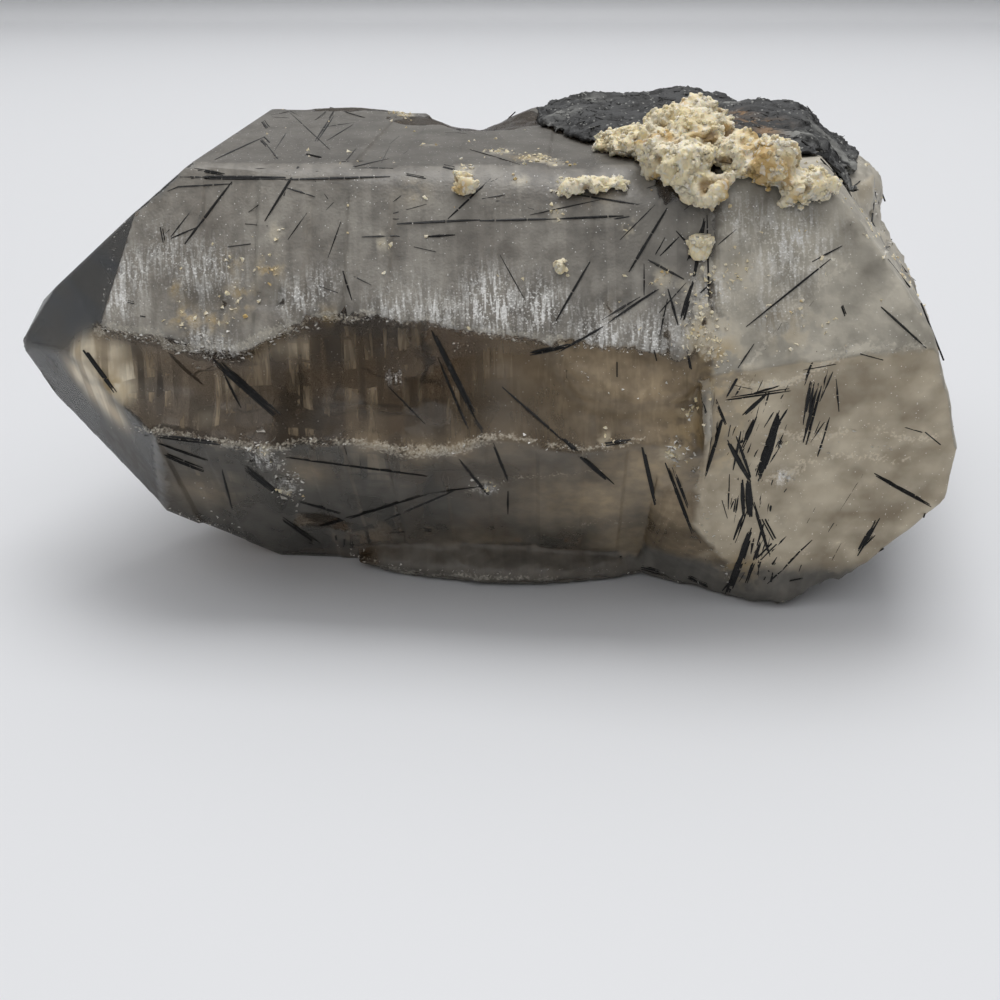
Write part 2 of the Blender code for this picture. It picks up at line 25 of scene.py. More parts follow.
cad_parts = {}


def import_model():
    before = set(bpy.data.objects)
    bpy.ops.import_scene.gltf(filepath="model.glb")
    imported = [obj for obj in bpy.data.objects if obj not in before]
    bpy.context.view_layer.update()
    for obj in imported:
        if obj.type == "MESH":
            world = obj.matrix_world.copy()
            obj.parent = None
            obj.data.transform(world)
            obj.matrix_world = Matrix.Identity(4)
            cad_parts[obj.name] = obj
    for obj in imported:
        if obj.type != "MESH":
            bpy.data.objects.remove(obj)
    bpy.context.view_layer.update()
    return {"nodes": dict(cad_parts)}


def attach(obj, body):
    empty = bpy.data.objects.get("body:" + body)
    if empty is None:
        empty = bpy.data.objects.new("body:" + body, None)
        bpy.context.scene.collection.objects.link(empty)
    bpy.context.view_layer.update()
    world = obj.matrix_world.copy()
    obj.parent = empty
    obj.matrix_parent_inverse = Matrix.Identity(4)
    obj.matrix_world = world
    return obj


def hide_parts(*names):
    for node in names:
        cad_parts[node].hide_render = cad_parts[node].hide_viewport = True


LOG = logging.getLogger("quartz_point")
MM = 0.001
Colour = tuple[float, float, float]


# Node graphs


class Wire:
    """A node's output, which adds Math nodes when it is used in an expression."""

    def __init__(self, graph: "Graph", socket: bpy.types.NodeSocket) -> None:
        """Keep the socket and the graph that it belongs to."""
        self.graph = graph
        self.socket = socket

    def maths(self, operation: str, *values: "Wire | float") -> "Wire":
        """The result of one Math operation."""
        return self.graph.node("ShaderNodeMath", dict(enumerate(values)), operation=operation)

    def __add__(self, other: "Wire | float") -> "Wire":
        """self + other."""
        return self.maths("ADD", self, other)

    __radd__ = __add__

    def __sub__(self, other: "Wire | float") -> "Wire":
        """self - other."""
        return self.maths("SUBTRACT", self, other)

    def __rsub__(self, other: float) -> "Wire":
        """other - self."""
        return self.maths("SUBTRACT", other, self)

    def __mul__(self, other: "Wire | float") -> "Wire":
        """self * other."""
        return self.maths("MULTIPLY", self, other)

    __rmul__ = __mul__

    def chance(self) -> "Wire":
        """The red part of the same node's colour, a random number from 0 to 1 for each Voronoi cell."""
        colour = Wire(self.graph, self.socket.node.outputs["Color"])
        return self.graph.node("ShaderNodeSeparateColor", {"Color": colour}, "Red")

    def clamped(self) -> "Wire":
        """The value kept between 0 and 1."""
        return self.maths("MINIMUM", self.maths("MAXIMUM", self, 0.0), 1.0)

    def rise(self, low: float, high: float) -> "Wire":
        """A smooth change from 0, at low, to 1, at high."""
        values = {"Value": self, "From Min": low, "From Max": high}
        return self.graph.node("ShaderNodeMapRange", values, interpolation_type="SMOOTHSTEP")


class Graph:
    """Adds nodes to a material's or a modifier's tree and links them."""

    def __init__(self, tree: bpy.types.NodeTree) -> None:
        """Work on one node tree."""
        self.tree = tree

    def node(self, kind: str, inputs: dict | None = None, output: int | str = 0, **settings: object) -> Wire:
        """Add one node.

        Args:
            kind: Blender's name for the type of node.
            inputs: a value or a wire for each input socket, by name or number.
            output: the output socket that is wanted, by name or number.
            settings: the node's own settings, which are set first; stops fills a colour ramp.

        Returns:
            The wanted output.
        """
        made = self.tree.nodes.new(kind)
        stops = settings.pop("stops", None)
        for name, value in settings.items():
            setattr(made, name, value)
        if stops:
            self.fill_ramp(made.color_ramp, stops)
        for key, value in (inputs or {}).items():
            if isinstance(value, Wire):
                self.tree.links.new(value.socket, made.inputs[key])
            else:
                made.inputs[key].default_value = value
        return Wire(self, made.outputs[output]) if len(made.outputs) else Wire(self, None)

    @staticmethod
    def fill_ramp(ramp: bpy.types.ColorRamp, stops: Sequence[tuple[float, Colour]]) -> None:
        """Give a colour ramp its stops, each a position and a colour."""
        while len(ramp.elements) < len(stops):
            ramp.elements.new(0.5)
        for element, (position, colour) in zip(ramp.elements, stops):
            element.position = position
            element.color = (*colour, 1.0)

    def mix(self, share: Wire | float, first: Wire | Colour, second: Wire | Colour) -> Wire:
        """Mix two colours.

        Args:
            share: how much of the second colour there is, from 0 to 1.
            first: the first colour.
            second: the second colour.

        Returns:
            The mixed colour.
        """
        values = {0: share}
        for socket, colour in ((6, first), (7, second)):
            values[socket] = colour if isinstance(colour, Wire) else (*colour, 1.0)
        return self.node("ShaderNodeMix", values, 2, data_type="RGBA")

    def attributes(self, *names: str) -> list[Wire]:
        """The numbers of some names that the mesh holds at its points."""
        return [self.node("ShaderNodeAttribute", output="Fac", attribute_name=name) for name in names]

    def place(self, turn: float = 0.0, stretch: Sequence[float] = (1.0, 1.0, 1.0)) -> Wire:
        """Object coordinates for a pattern.

        Args:
            turn: how far they are turned around Z.
            stretch: what they are then multiplied by along each axis.

        Returns:
            The coordinates.
        """
        raw = self.node("ShaderNodeTexCoord", output="Object")
        turned = self.node("ShaderNodeMapping", {"Vector": raw, "Rotation": (0.0, 0.0, turn)})
        return self.node("ShaderNodeMapping", {"Vector": turned, "Scale": stretch})

    def noise(self, place: Wire, size: float, detail: float) -> Wire:
        """Cloudy noise from 0 to 1 with lumps of a size in metres."""
        return self.node("ShaderNodeTexNoise", {"Vector": place, "Scale": 1.0 / size, "Detail": detail})

    def cells(self, place: Wire, size: float) -> Wire:
        """The distance from the middles of Voronoi cells of a size in metres."""
        return self.node("ShaderNodeTexVoronoi", {"Vector": place, "Scale": 1.0 / size})

    def bump(self, height: Wire, distance: float, strength: float) -> Wire:
        """A normal tilted by a height map, distance being the height in metres of the value 1."""
        return self.node("ShaderNodeBump", {"Height": height, "Distance": distance, "Strength": strength})


class Finish:
    """A procedural material. Each kind fills in paint()."""

    name = "finish"

    def paint(self, graph: Graph) -> None:
        """Add the material's nodes.

        Args:
            graph: the material's empty tree.
        """
        raise NotImplementedError

    def make(self) -> bpy.types.Material:
        """Build the material.

        Returns:
            The material, painted.
        """
        material = bpy.data.materials.new(self.name)
        material.use_nodes = True
        material.node_tree.nodes.clear()
        self.paint(Graph(material.node_tree))
        return material

    @staticmethod
    def surface(graph: Graph, **values: object) -> Wire:
        """Add a Principled shader as the material's surface.

        Args:
            graph: the material's tree.
            values: values or wires for its sockets, by name with _ for spaces.

        Returns:
            The shader.
        """
        sockets = {name.replace("_", " "): value for name, value in values.items()}
        shader = graph.node("ShaderNodeBsdfPrincipled", sockets)
        graph.node("ShaderNodeOutputMaterial", {"Surface": shader})
        return shader


# The photograph's view


@dataclass(frozen=True)
class Photograph:
    """The camera that took the photograph, in the model's frame.

    pixels_per_mm is how many pixels a millimetre on the near side of the stone takes.
    """

    place: Vector
    down: float
    focal_pixels: float
    width: int = 1000
    pixels_per_mm: float = 6.6
    sensor_mm: float = 36.0
    nearest: float = 5.0 * MM

    def ray(self, x: float, y: float) -> Vector:
        """Work out where a pixel looks.

        Args:
            x: how far right the pixel is.
            y: how far down it is.

        Returns:
            The direction of its line of sight.
        """
        centre = self.width / 2.0
        right = (x - centre) / self.focal_pixels
        up = (centre - y) / self.focal_pixels
        ahead = Vector((0.0, math.cos(self.down), -math.sin(self.down)))
        above = Vector((0.0, math.sin(self.down), math.cos(self.down)))
        return (ahead + Vector((1.0, 0.0, 0.0)) * right + above * up).normalized()

    def make_camera(self) -> None:
        """Set the scene's camera."""
        data = bpy.data.cameras.new("camera")
        data.sensor_width = self.sensor_mm
        data.lens = data.sensor_width * self.focal_pixels / self.width
        data.clip_start = self.nearest
        camera = bpy.data.objects.new("camera", data)
        camera.location = self.place
        camera.rotation_euler = (math.pi / 2.0 - self.down, 0.0, 0.0)
        bpy.context.scene.collection.objects.link(camera)
        bpy.context.scene.camera = camera


PHOTOGRAPH = Photograph(
    place=Vector((-2.34, -176.47, 94.0)) * MM, down=math.radians(28.5), focal_pixels=1100.0)


class Sighting:
    """Finds places on and in the quartz from where the photograph shows them."""

    INDEX = 1.544
    BLUR_PIXELS = 4.0
    SAME_FACE = 3.0 * MM
    MIDDLE_PIXEL = (500.0, 350.0)
    PULLS = 10
    PULL_SHARE = 0.2

    def __init__(self, view: Photograph, quartz: bpy.types.Object) -> None:
        """Keep the view and a search tree of the quartz."""
        self.view = view
        mesh = quartz.data
        polygons = [polygon.vertices[:] for polygon in mesh.polygons]
        self.tree = BVHTree.FromPolygons([vert.co[:] for vert in mesh.vertices], polygons)

    def hit(self, x: float, y: float) -> tuple[Vector, Vector]:
        """Find where a pixel looks at the quartz.

        A pixel that just misses is pulled towards the middle of the stone until it meets it.

        Args:
            x: how far right the pixel is.
            y: how far down it is.

        Returns:
            The place, and the surface's direction averaged round there.
        """
        for step in range(self.PULLS):
            share = step / self.PULLS
            x += (self.MIDDLE_PIXEL[0] - x) * self.PULL_SHARE * share
            y += (self.MIDDLE_PIXEL[1] - y) * self.PULL_SHARE * share
            place = self.tree.ray_cast(self.view.place, self.view.ray(x, y))[0]
            if place is not None:
                break
        total = Vector()
        shifts = (-self.BLUR_PIXELS, 0.0, self.BLUR_PIXELS)
        for shift_x, shift_y in product(shifts, shifts):
            near = self.view.ray(x + shift_x, y + shift_y)
            found, outward = self.tree.ray_cast(self.view.place, near)[:2]
            if found is not None and (found - place).length < self.SAME_FACE:
                total += outward
        return place, total.normalized()

    def on(self, x: float, y: float, above: float = 0.0) -> Vector:
        """The place on the quartz at a pixel, moved out by above."""
        place, outward = self.hit(x, y)
        return place + outward * above

    def inside(self, x: float, y: float, depth: float) -> Vector:
        """Find the place in the quartz that shows at a pixel.

        Args:
            x: how far right the pixel is.
            y: how far down it is.
            depth: how deep the place is, measured along the bent ray; below 0 it is out of the stone.

        Returns:
            The place.
        """
        place, outward = self.hit(x, y)
        if depth <= 0.0:
            return place - outward * depth
        ray = self.view.ray(x, y)
        facing = -outward.dot(ray)
        share = 1.0 / self.INDEX
        straight_in = math.sqrt(1.0 - share * share * (1.0 - facing * facing))
        bent = share * ray + (share * facing - straight_in) * outward
        return place + bent.normalized() * depth


def table(kind: type, *values: tuple) -> tuple:
    """A named row of a kind, such as Spot or Line, for each row of values."""
    return tuple(kind(*row) for row in values)


# The crystal's form


def smoothstep(low: float, high: float, value: np.ndarray) -> np.ndarray:
    """0 below low, 1 above high and a smooth rise between them."""
    share = np.clip((value - low) / (high - low), 0.0, 1.0)
    return share * share * (3.0 - 2.0 * share)


def smooth_noise(points: np.ndarray, size: float, seed: float, octaves: int = 1) -> np.ndarray:
    """Work out rounded noise.

    Args:
        points: where it is wanted.
        size: how large its lumps are, in metres.
        seed: which noise it is.
        octaves: how many layers it has, each finer than the last.

    Returns:
        A number from about -1 to 1 for each point.
    """
    shift = Vector((seed * 3.1, seed * 7.7, seed * 1.3))
    values = [noise.fractal(Vector(point) / size + shift, 0.6, 2.1, octaves) for point in points]
    return np.array(values)


def facets(points: np.ndarray, size: float, seed: int) -> np.ndarray:
    """Heights from about -1 to 1 of flat facets, each tilted at random.

    Args:
        points: where the heights are wanted.
        size: how far apart the facets are.
        seed: which facets they are.

    Returns:
        A height for each point.
    """
    chance = np.random.default_rng(seed)
    low, high = points.min(axis=0) - size, points.max(axis=0) + size
    count = int(np.prod((high - low) / size))
    middles = chance.uniform(low, high, (count, 3))
    slopes = chance.normal(size=(count, 3))
    levels = chance.uniform(-0.4, 0.4, count)
    tree = KDTree(count)
    for number, middle in enumerate(middles):
        tree.insert(middle, number)
    tree.balance()
    nearest = np.array([tree.find(point)[1] for point in points])
    heights = ((points - middles[nearest]) * slopes[nearest]).sum(axis=1) / size + levels[nearest]
    return np.clip(heights, -1.0, 1.0)


@dataclass(frozen=True)
class CrystalForm:
    """The faces of the main crystal, the same as in the part's source.

    A face is a turn around the long axis, in degrees from up over the front, and a reach from the
    axis in millimetres. A tip face also leans away from the long axis, by the angle that comes first.
    The blunt end starts between two places along the axis, in millimetres.
    """

    middle: Vector = Vector((-2.34, -2.47, 33.0)) * MM
    tip_yaw: float = math.radians(4.0)
    blunt_end: tuple[float, float] = (-31.5, -30.0)
    prism: dict[str, tuple[float, float]] = field(default_factory=lambda: {
        "top": (0.0, 29.0), "upper_front": (60.0, 33.5), "lower_front": (120.0, 35.7),
        "underside": (180.0, 33.0), "lower_back": (240.0, 34.0), "upper_back": (300.0, 36.0),
    })
    tip: dict[str, tuple[float, float, float]] = field(default_factory=lambda: {
        "top": (51.7, 0.2, 48.7), "front": (51.6, 47.6, 57.2), "lower_front": (53.7, 109.8, 57.3),
        "underside": (51.8, 180.0, 47.2), "lower_back": (45.0, 240.0, 38.0),
        "upper_back": (51.8, 300.0, 53.5), "tip_nick": (42.3, 25.3, 60.1),
    })
    worn_turn: float = 30.0
    worn_reach: float = 34.7
    worn_slope: float = 0.031

    def toward_tip(self) -> Vector:
        """The long axis's direction."""
        return Vector((-math.cos(self.tip_yaw), math.sin(self.tip_yaw), 0.0))

    def around(self, turn: float) -> Vector:
        """The direction at right angles to the long axis, at a turn in degrees."""
        front = Vector((-math.sin(self.tip_yaw), -math.cos(self.tip_yaw), 0.0))
        angle = math.radians(turn)
        return Vector((0.0, 0.0, 1.0)) * math.cos(angle) + front * math.sin(angle)

    def leaning(self, lean: float, turn: float) -> Vector:
        """A direction that leans from the long axis by an angle, at a turn."""
        angle = math.radians(lean)
        return self.toward_tip() * math.cos(angle) + self.around(turn) * math.sin(angle)

    def worn(self) -> tuple[Vector, float]:
        """The worn edge's direction and its reach in millimetres."""
        leaned = self.around(self.worn_turn) - self.toward_tip() * self.worn_slope
        return leaned.normalized(), self.worn_reach / leaned.length

    def along(self, points: np.ndarray) -> np.ndarray:
        """How far towards the tip each point is, in millimetres from the middle."""
        return (points - np.array(self.middle)) @ np.array(self.toward_tip()) / MM

    def height(self, points: np.ndarray, direction: Vector, reach: float) -> np.ndarray:
        """How far each point is over a face, in millimetres."""
        return (points - np.array(self.middle)) @ np.array(direction) / MM - reach


FORM = CrystalForm()


# Meshes


def link(name: str, mesh: bpy.types.Mesh, material: bpy.types.Material | None = None) -> bpy.types.Object:
    """Add an object at the origin that shows a mesh.

    Args:
        name: the object's name.
        mesh: the mesh.
        material: the mesh's one material, or None to leave its materials alone.

    Returns:
        The object.
    """
    obj = bpy.data.objects.new(name, mesh)
    bpy.context.scene.collection.objects.link(obj)
    if material is not None:
        mesh.materials.clear()
        mesh.materials.append(material)
    return obj


def finished(bm: bmesh.types.BMesh, name: str) -> bpy.types.Mesh:
    """Turn a bmesh into a mesh.

    Args:
        bm: the bmesh, which is freed.
        name: the mesh's name.

    Returns:
        The mesh.
    """
    mesh = bpy.data.meshes.new(name)
    bm.to_mesh(mesh)
    bm.free()
    return mesh


def evaluated(piece: bpy.types.Object) -> bpy.types.Mesh:
    """Turn a piece with modifiers into a plain mesh.

    Args:
        piece: the piece, which is removed.

    Returns:
        The mesh that its modifiers make.
    """
    depsgraph = bpy.context.evaluated_depsgraph_get()
    mesh = bpy.data.meshes.new_from_object(piece.evaluated_get(depsgraph))
    bpy.data.objects.remove(piece, do_unlink=True)
    return mesh


def welded(node: bpy.types.Object) -> bmesh.types.BMesh:
    """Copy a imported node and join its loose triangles.

    Args:
        node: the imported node.

    Returns:
        The copy, with no layers of its own.
    """
    bm = bmesh.new()
    bm.from_mesh(node.data)
    bmesh.ops.remove_doubles(bm, verts=bm.verts, dist=0.002 * MM)
    for name in list(bm.loops.layers.float_vector.keys()):
        bm.loops.layers.float_vector.remove(bm.loops.layers.float_vector[name])
    return bm


def refine(bm: bmesh.types.BMesh, longest: float, rounds: int = 8) -> None:
    """Split edges until none is longer than a length.

    Args:
        bm: the mesh whose edges are split.
        longest: the length.
        rounds: how many times each edge may be split.
    """
    for _ in range(rounds):
        long_edges = [edge for edge in bm.edges if edge.calc_length() > longest]
        if not long_edges:
            break
        bmesh.ops.subdivide_edges(bm, edges=long_edges, cuts=1, use_grid_fill=False)
        bmesh.ops.triangulate(bm, faces=bm.faces)


def points_of(mesh: bpy.types.Mesh, what: str = "co") -> np.ndarray:
    """A mesh's points, or something else that it holds at them, as an array of vectors."""
    values = np.zeros(len(mesh.vertices) * 3)
    mesh.vertices.foreach_get(what, values)
    return values.reshape(-1, 3)


def normals_of(mesh: bpy.types.Mesh) -> np.ndarray:
    """The directions of a mesh's points as an array."""
    return points_of(mesh, "normal")


def move_points(mesh: bpy.types.Mesh, points: np.ndarray) -> None:
    """Put a mesh's points in new places."""
    mesh.vertices.foreach_set("co", points.astype(np.float32).ravel())
    mesh.update()


def keep_number(mesh: bpy.types.Mesh, name: str, values: np.ndarray) -> None:
    """Store a number at each point for a material or a modifier to read."""
    attribute = mesh.attributes.new(name, "FLOAT", "POINT")
    attribute.data.foreach_set("value", values.astype(np.float32))


def shade(mesh: bpy.types.Mesh, sharp_degrees: float) -> None:
    """Shade a mesh smooth, apart from edges that are sharper than an angle."""
    mesh.shade_smooth()
    mesh.set_sharp_from_angle(angle=math.radians(sharp_degrees))


def relax(mesh: bpy.types.Mesh, points: np.ndarray, share: np.ndarray | float, rounds: int) -> np.ndarray:
    """Move a mesh's points towards the middle of their neighbours.

    Args:
        mesh: whose edges say which points are neighbours; its points move.
        points: where they are before.
        share: how much of the way they move in a round, one number or a number for each point.
        rounds: how many rounds there are.

    Returns:
        Where they are afterwards.
    """
    edges = np.zeros(len(mesh.edges) * 2, dtype=np.int64)
    mesh.edges.foreach_get("vertices", edges)
    first, second = edges.reshape(-1, 2).T
    count = np.bincount(np.concatenate([first, second]), minlength=len(points))[:, None]
    moved = points.copy()
    shares = np.broadcast_to(share, len(points))[:, None]
    for _ in range(rounds):
        total = np.zeros_like(moved)
        np.add.at(total, first, moved[second])
        np.add.at(total, second, moved[first])
        moved += shares * (total / count - moved)
    move_points(mesh, moved)
    return moved


def prism_between(bm: bmesh.types.BMesh, start: Vector, end: Vector, radius: float, turn: float,
                  taper: float) -> None:
    """Add a closed straight prism of six sides with three lobes, its ends slightly pointed.

    Args:
        bm: the mesh it is added to.
        start: the middle of its thick end.
        end: the middle of its thin end.
        radius: its radius at the thick end.
        turn: how far it is turned around its own length.
        taper: the thin end's radius as a share of the thick one's.
    """
    sides, lobes, lobe_depth, point = 6, 3.0, 0.18, 0.5
    way = (end - start).normalized()
    across = way.orthogonal().normalized()
    other = way.cross(across)
    rings = []
    for place, size in ((start, radius), (end, radius * taper)):
        ring = []
        for side in range(sides):
            angle = turn + 2.0 * math.pi * side / sides
            lobe = 1.0 + lobe_depth * math.cos(lobes * (angle - turn))
            offset = across * math.cos(angle) + other * math.sin(angle)
            ring.append(bm.verts.new(place + offset * size * lobe))
        rings.append(ring)
    points = [bm.verts.new(start - way * radius * point), bm.verts.new(end + way * radius * point)]
    for side in range(sides):
        following = (side + 1) % sides
        bm.faces.new((rings[0][side], rings[0][following], rings[1][following], rings[1][side]))
        bm.faces.new((rings[0][following], rings[0][side], points[0]))
        bm.faces.new((rings[1][side], rings[1][following], points[1]))


# The clear stone and its skin


@dataclass(frozen=True)
class SmokyGlass(Finish):
    """Clear smoky quartz: one see-through material for the whole stone."""

    name: str = "smoky_quartz"
    index: float = 1.544
    tint: Colour = (0.97, 0.96, 0.94)
    smoke: Colour = (0.42, 0.29, 0.12)
    density: float = 50.0
    line_width: float = 1.1 * MM
    ripple_size: float = 5.0 * MM
    relief: float = 0.25 * MM

    def paint(self, graph: Graph) -> None:
        """Add the nodes: etched where the skin is, ripples on breaks, growth lines on faces."""
        satin, broken, frost = graph.attributes("satin", "broken", "frost")
        lines = graph.noise(graph.place(-FORM.tip_yaw, (1.0, 0.06, 0.06)), self.line_width, 1.0)
        ripples = graph.noise(graph.place(stretch=(1.0, 1.0, 2.2)), self.ripple_size, 1.0)
        height = lines * satin * 0.3 + ripples * broken
        rough = 0.04 + satin * 0.30 + broken * 0.05 + frost * 0.25
        shader = self.surface(
            graph, Base_Color=(*self.tint, 1.0), Roughness=rough, IOR=self.index,
            Transmission_Weight=1.0, Normal=graph.bump(height, self.relief, 0.6))
        output = shader.socket.links[0].to_node
        absorbed = {"Color": (*self.smoke, 1.0), "Density": self.density}
        smoke = graph.node("ShaderNodeVolumeAbsorption", absorbed)
        graph.tree.links.new(smoke.socket, output.inputs["Volume"])


@dataclass(frozen=True)
class SatinSkin(Finish):
    """The etched, dusty outermost skin: grey satin, painted glints, painted shade and light by face, painted
    light near the tip, stains, nearly clear on the breaks.
    """

    name: str = "satin_skin"
    dark: Colour = (0.125, 0.117, 0.102)
    grey: Colour = (0.41, 0.384, 0.335)
    slate: Colour = (0.150, 0.158, 0.165)
    brown: Colour = (0.080, 0.055, 0.030)
    umber: Colour = (0.022, 0.016, 0.010)
    smoke_shade_brown: Colour = (0.062, 0.052, 0.040)
    milk: Colour = (0.46, 0.355, 0.225)
    beige: Colour = (0.92, 0.82, 0.63)
    frosted: Colour = (0.60, 0.555, 0.46)
    white: Colour = (0.95, 0.94, 0.91)
    cream: Colour = (0.72, 0.64, 0.48)
    rust: Colour = (0.46, 0.31, 0.10)
    line_width: float = 0.5 * MM
    slab_width: float = 2.2 * MM
    row_height: float = 2.6 * MM
    grain_size: float = 0.4 * MM
    patch_size: float = 1.8 * MM
    sparkle_size: float = 0.2 * MM
    relief: float = 0.13 * MM

    def paint(self, graph: Graph) -> None:
        """Add the nodes: where the skin shows, and its colours."""
        film, lower, broken, haze = graph.attributes("film", "lower", "broken", "haze")
        frost, rough, pale, clouds = graph.attributes("frost", "rough_back", "pale", "clouds")
        painted_glints, cream, stain, ledge = graph.attributes("painted_glints", "cream", "stain", "ledge")
        columns, milky, smoke_and_shade, window = graph.attributes("columns", "milky", "smoke_and_shade", "window")
        place = graph.place()
        # Patterns at each scale: growth lines, slabs across the stone, rows along it, grain and patches.
        lines = graph.noise(graph.place(-FORM.tip_yaw, (1.0, 0.16, 0.16)), self.line_width, 1.0)
        slabs = graph.noise(graph.place(-FORM.tip_yaw, (1.0, 0.06, 0.06)), self.slab_width, 2.0)
        rows = graph.noise(graph.place(-FORM.tip_yaw, (0.2, 0.2, 1.0)), self.row_height, 1.0)
        grain = graph.noise(place, self.grain_size, 1.0)
        patches = graph.noise(place, self.patch_size, 2.0)
        cells = graph.cells(place, self.sparkle_size)
        sparkles = cells.chance()
        satin = (graph.attributes("satin")[0] + grain * 0.4 - 0.2).rise(0.42, 0.55)
        mottle = patches.rise(0.32, 0.68)
        bars = lines.rise(0.46, 0.60)
        streaks = slabs.rise(0.46, 0.56)
        veins = (1.0 - (rows - 0.5).maths("ABSOLUTE") * 90.0).clamped() * patches.rise(0.45, 0.6)
        # Painted glints: bright streaks and sparkles where the satin catches the light.
        glint_streaks = bars * (0.40 + 0.70 * sparkles) * (0.55 + 0.45 * streaks) + sparkles.rise(0.65, 0.95) * 0.45
        painted_glint_white = (painted_glints * glint_streaks).clamped()
        # Where each feature is, from the masks broken up by the patterns.
        # Painted sparkles: rare white points on the satin, frost, haze and breaks.
        painted_sparkles = cells.rise(0.45, 0.30) * sparkles.rise(0.974, 0.985) * (satin + frost + haze + broken * 0.3)
        frayed = (ledge + grain * 0.9 + patches * 0.5 - 0.70).rise(0.30, 0.60)
        pale_slabs = (columns * slabs.rise(0.50, 0.53) * rows.rise(0.46, 0.49) * (0.6 + 0.4 * bars)).clamped()
        dark_slabs = (columns * slabs.rise(0.48, 0.45)).clamped()
        creamy = (cream * patches.rise(0.40, 0.56)).clamped()
        stained = (stain * patches.rise(0.38, 0.60)).clamped()
        # How much of the clear stone each feature hides.
        veil = satin * (0.72 + 0.16 * clouds) + lower * (0.48 + 0.25 * clouds) + film * 0.45
        veil = veil + broken * (1.0 - satin) * (0.36 + 0.16 * clouds + 0.10 * bars * streaks)
        veil = veil + milky * 0.4 + (pale_slabs + window) * 0.5 + dark_slabs * 0.4 + smoke_and_shade * 0.4
        veil = veil + haze * (0.56 + 0.26 * clouds) + frost * (0.80 + 0.15 * clouds) + rough * 0.78
        veil = veil + painted_glint_white * 0.7 + painted_sparkles * 0.8 + creamy + stained * 0.7 + frayed * 0.5 + veins * 0.2
        # The colour of each feature, laid over the one before.
        shade = 0.26 + 0.40 * clouds + 0.22 * streaks + 0.36 * mottle
        # The grey is painted lighter or darker by face (pale): painted shade and light.
        tone = graph.mix((pale * shade).clamped(), self.dark, self.grey)
        tone = graph.mix(film * (0.45 + 0.55 * rows.rise(0.4, 0.65)), tone, self.slate)
        tone = graph.mix(broken * (1.0 - satin), tone, self.brown)
        tone = graph.mix((milky * (0.7 + 0.4 * mottle)).clamped(), tone, self.milk)
        waxy = (0.16 + clouds * 0.40 + rows.rise(0.40, 0.62) * 0.14 + mottle * 0.16).clamped()
        tone = graph.mix(haze, tone, graph.mix(waxy, self.milk, self.beige))
        tone = graph.mix((frost * (0.58 + 0.30 * clouds + 0.25 * mottle)).clamped(), tone, self.frosted)
        # Darker patches, partly smoke in the stone and partly painted shade.
        tone = graph.mix((smoke_and_shade * (0.6 + 0.6 * mottle)).clamped(), tone, self.smoke_shade_brown)
        # Painted light near the tip, where light comes in: a pale beige.
        bright = graph.mix(0.25 + 0.6 * streaks, self.milk, self.beige)
        tone = graph.mix((window * 1.1).clamped(), tone, bright)
        tone = graph.mix(dark_slabs * 0.85, tone, self.umber)
        tone = graph.mix(pale_slabs * 0.8, tone, graph.mix(columns.rise(0.6, 1.0), self.milk, self.beige))
        tone = graph.mix(stained * 0.8, tone, self.rust)
        tone = graph.mix(creamy * 0.85, tone, self.cream)
        tone = graph.mix(frayed * (0.30 + 0.50 * sparkles.rise(0.4, 0.9)) + veins * 0.25, tone, self.frosted)
        # The painted glints and sparkles, laid on in white.
        tone = graph.mix((painted_glint_white + painted_sparkles * 0.7).clamped(), tone, self.white)
        height = grain * (0.35 + 0.65 * satin) + patches * (1.0 - satin) * 1.2 + rows * haze
        self.surface(
            graph, Base_Color=tone, Alpha=veil.clamped(), Roughness=0.46 - 0.2 * painted_glint_white,
            Normal=graph.bump(height, self.relief, 0.7))


class Spot(NamedTuple):
    """A spot on the stone: where the photograph shows it, its radius in millimetres, and its strength."""

    x: float
    y: float
    radius: float
    strength: float = 1.0


def spot_mask(points: np.ndarray, sighting: Sighting, spots: Sequence[Spot]) -> np.ndarray:
    """Work out how strongly some spots cover a surface.

    Args:
        points: the surface's points.
        sighting: finds the spots' middles on it.
        spots: the spots.

    Returns:
        A number for each point, from 0 at none to a spot's strength at its middle.
    """
    mask = np.zeros(len(points))
    for spot in spots:
        centre = np.array(sighting.on(spot.x, spot.y))
        distance = np.linalg.norm(points - centre, axis=1) / MM
        mask = np.maximum(mask, spot.strength * np.exp(-((distance / spot.radius) ** 2)))
    return mask


def spots_along(*lines: tuple[Sequence[tuple[float, float]], float, float]) -> tuple[Spot, ...]:
    """Set spots in rows.

    Args:
        lines: for each row its pixels, and the radius and strength of its spots.

    Returns:
        The spots.
    """
    spots = []
    for pixels, radius, strength in lines:
        for first, last in zip(pixels, pixels[1:]):
            count = max(1, round(math.dist(first, last) / (radius * PHOTOGRAPH.pixels_per_mm)))
            for step in range(count + 1):
                x, y = (np.array(first) + (np.array(last) - np.array(first)) * step / count).tolist()
                spots.append(Spot(x, y, radius, strength))
    return tuple(spots)


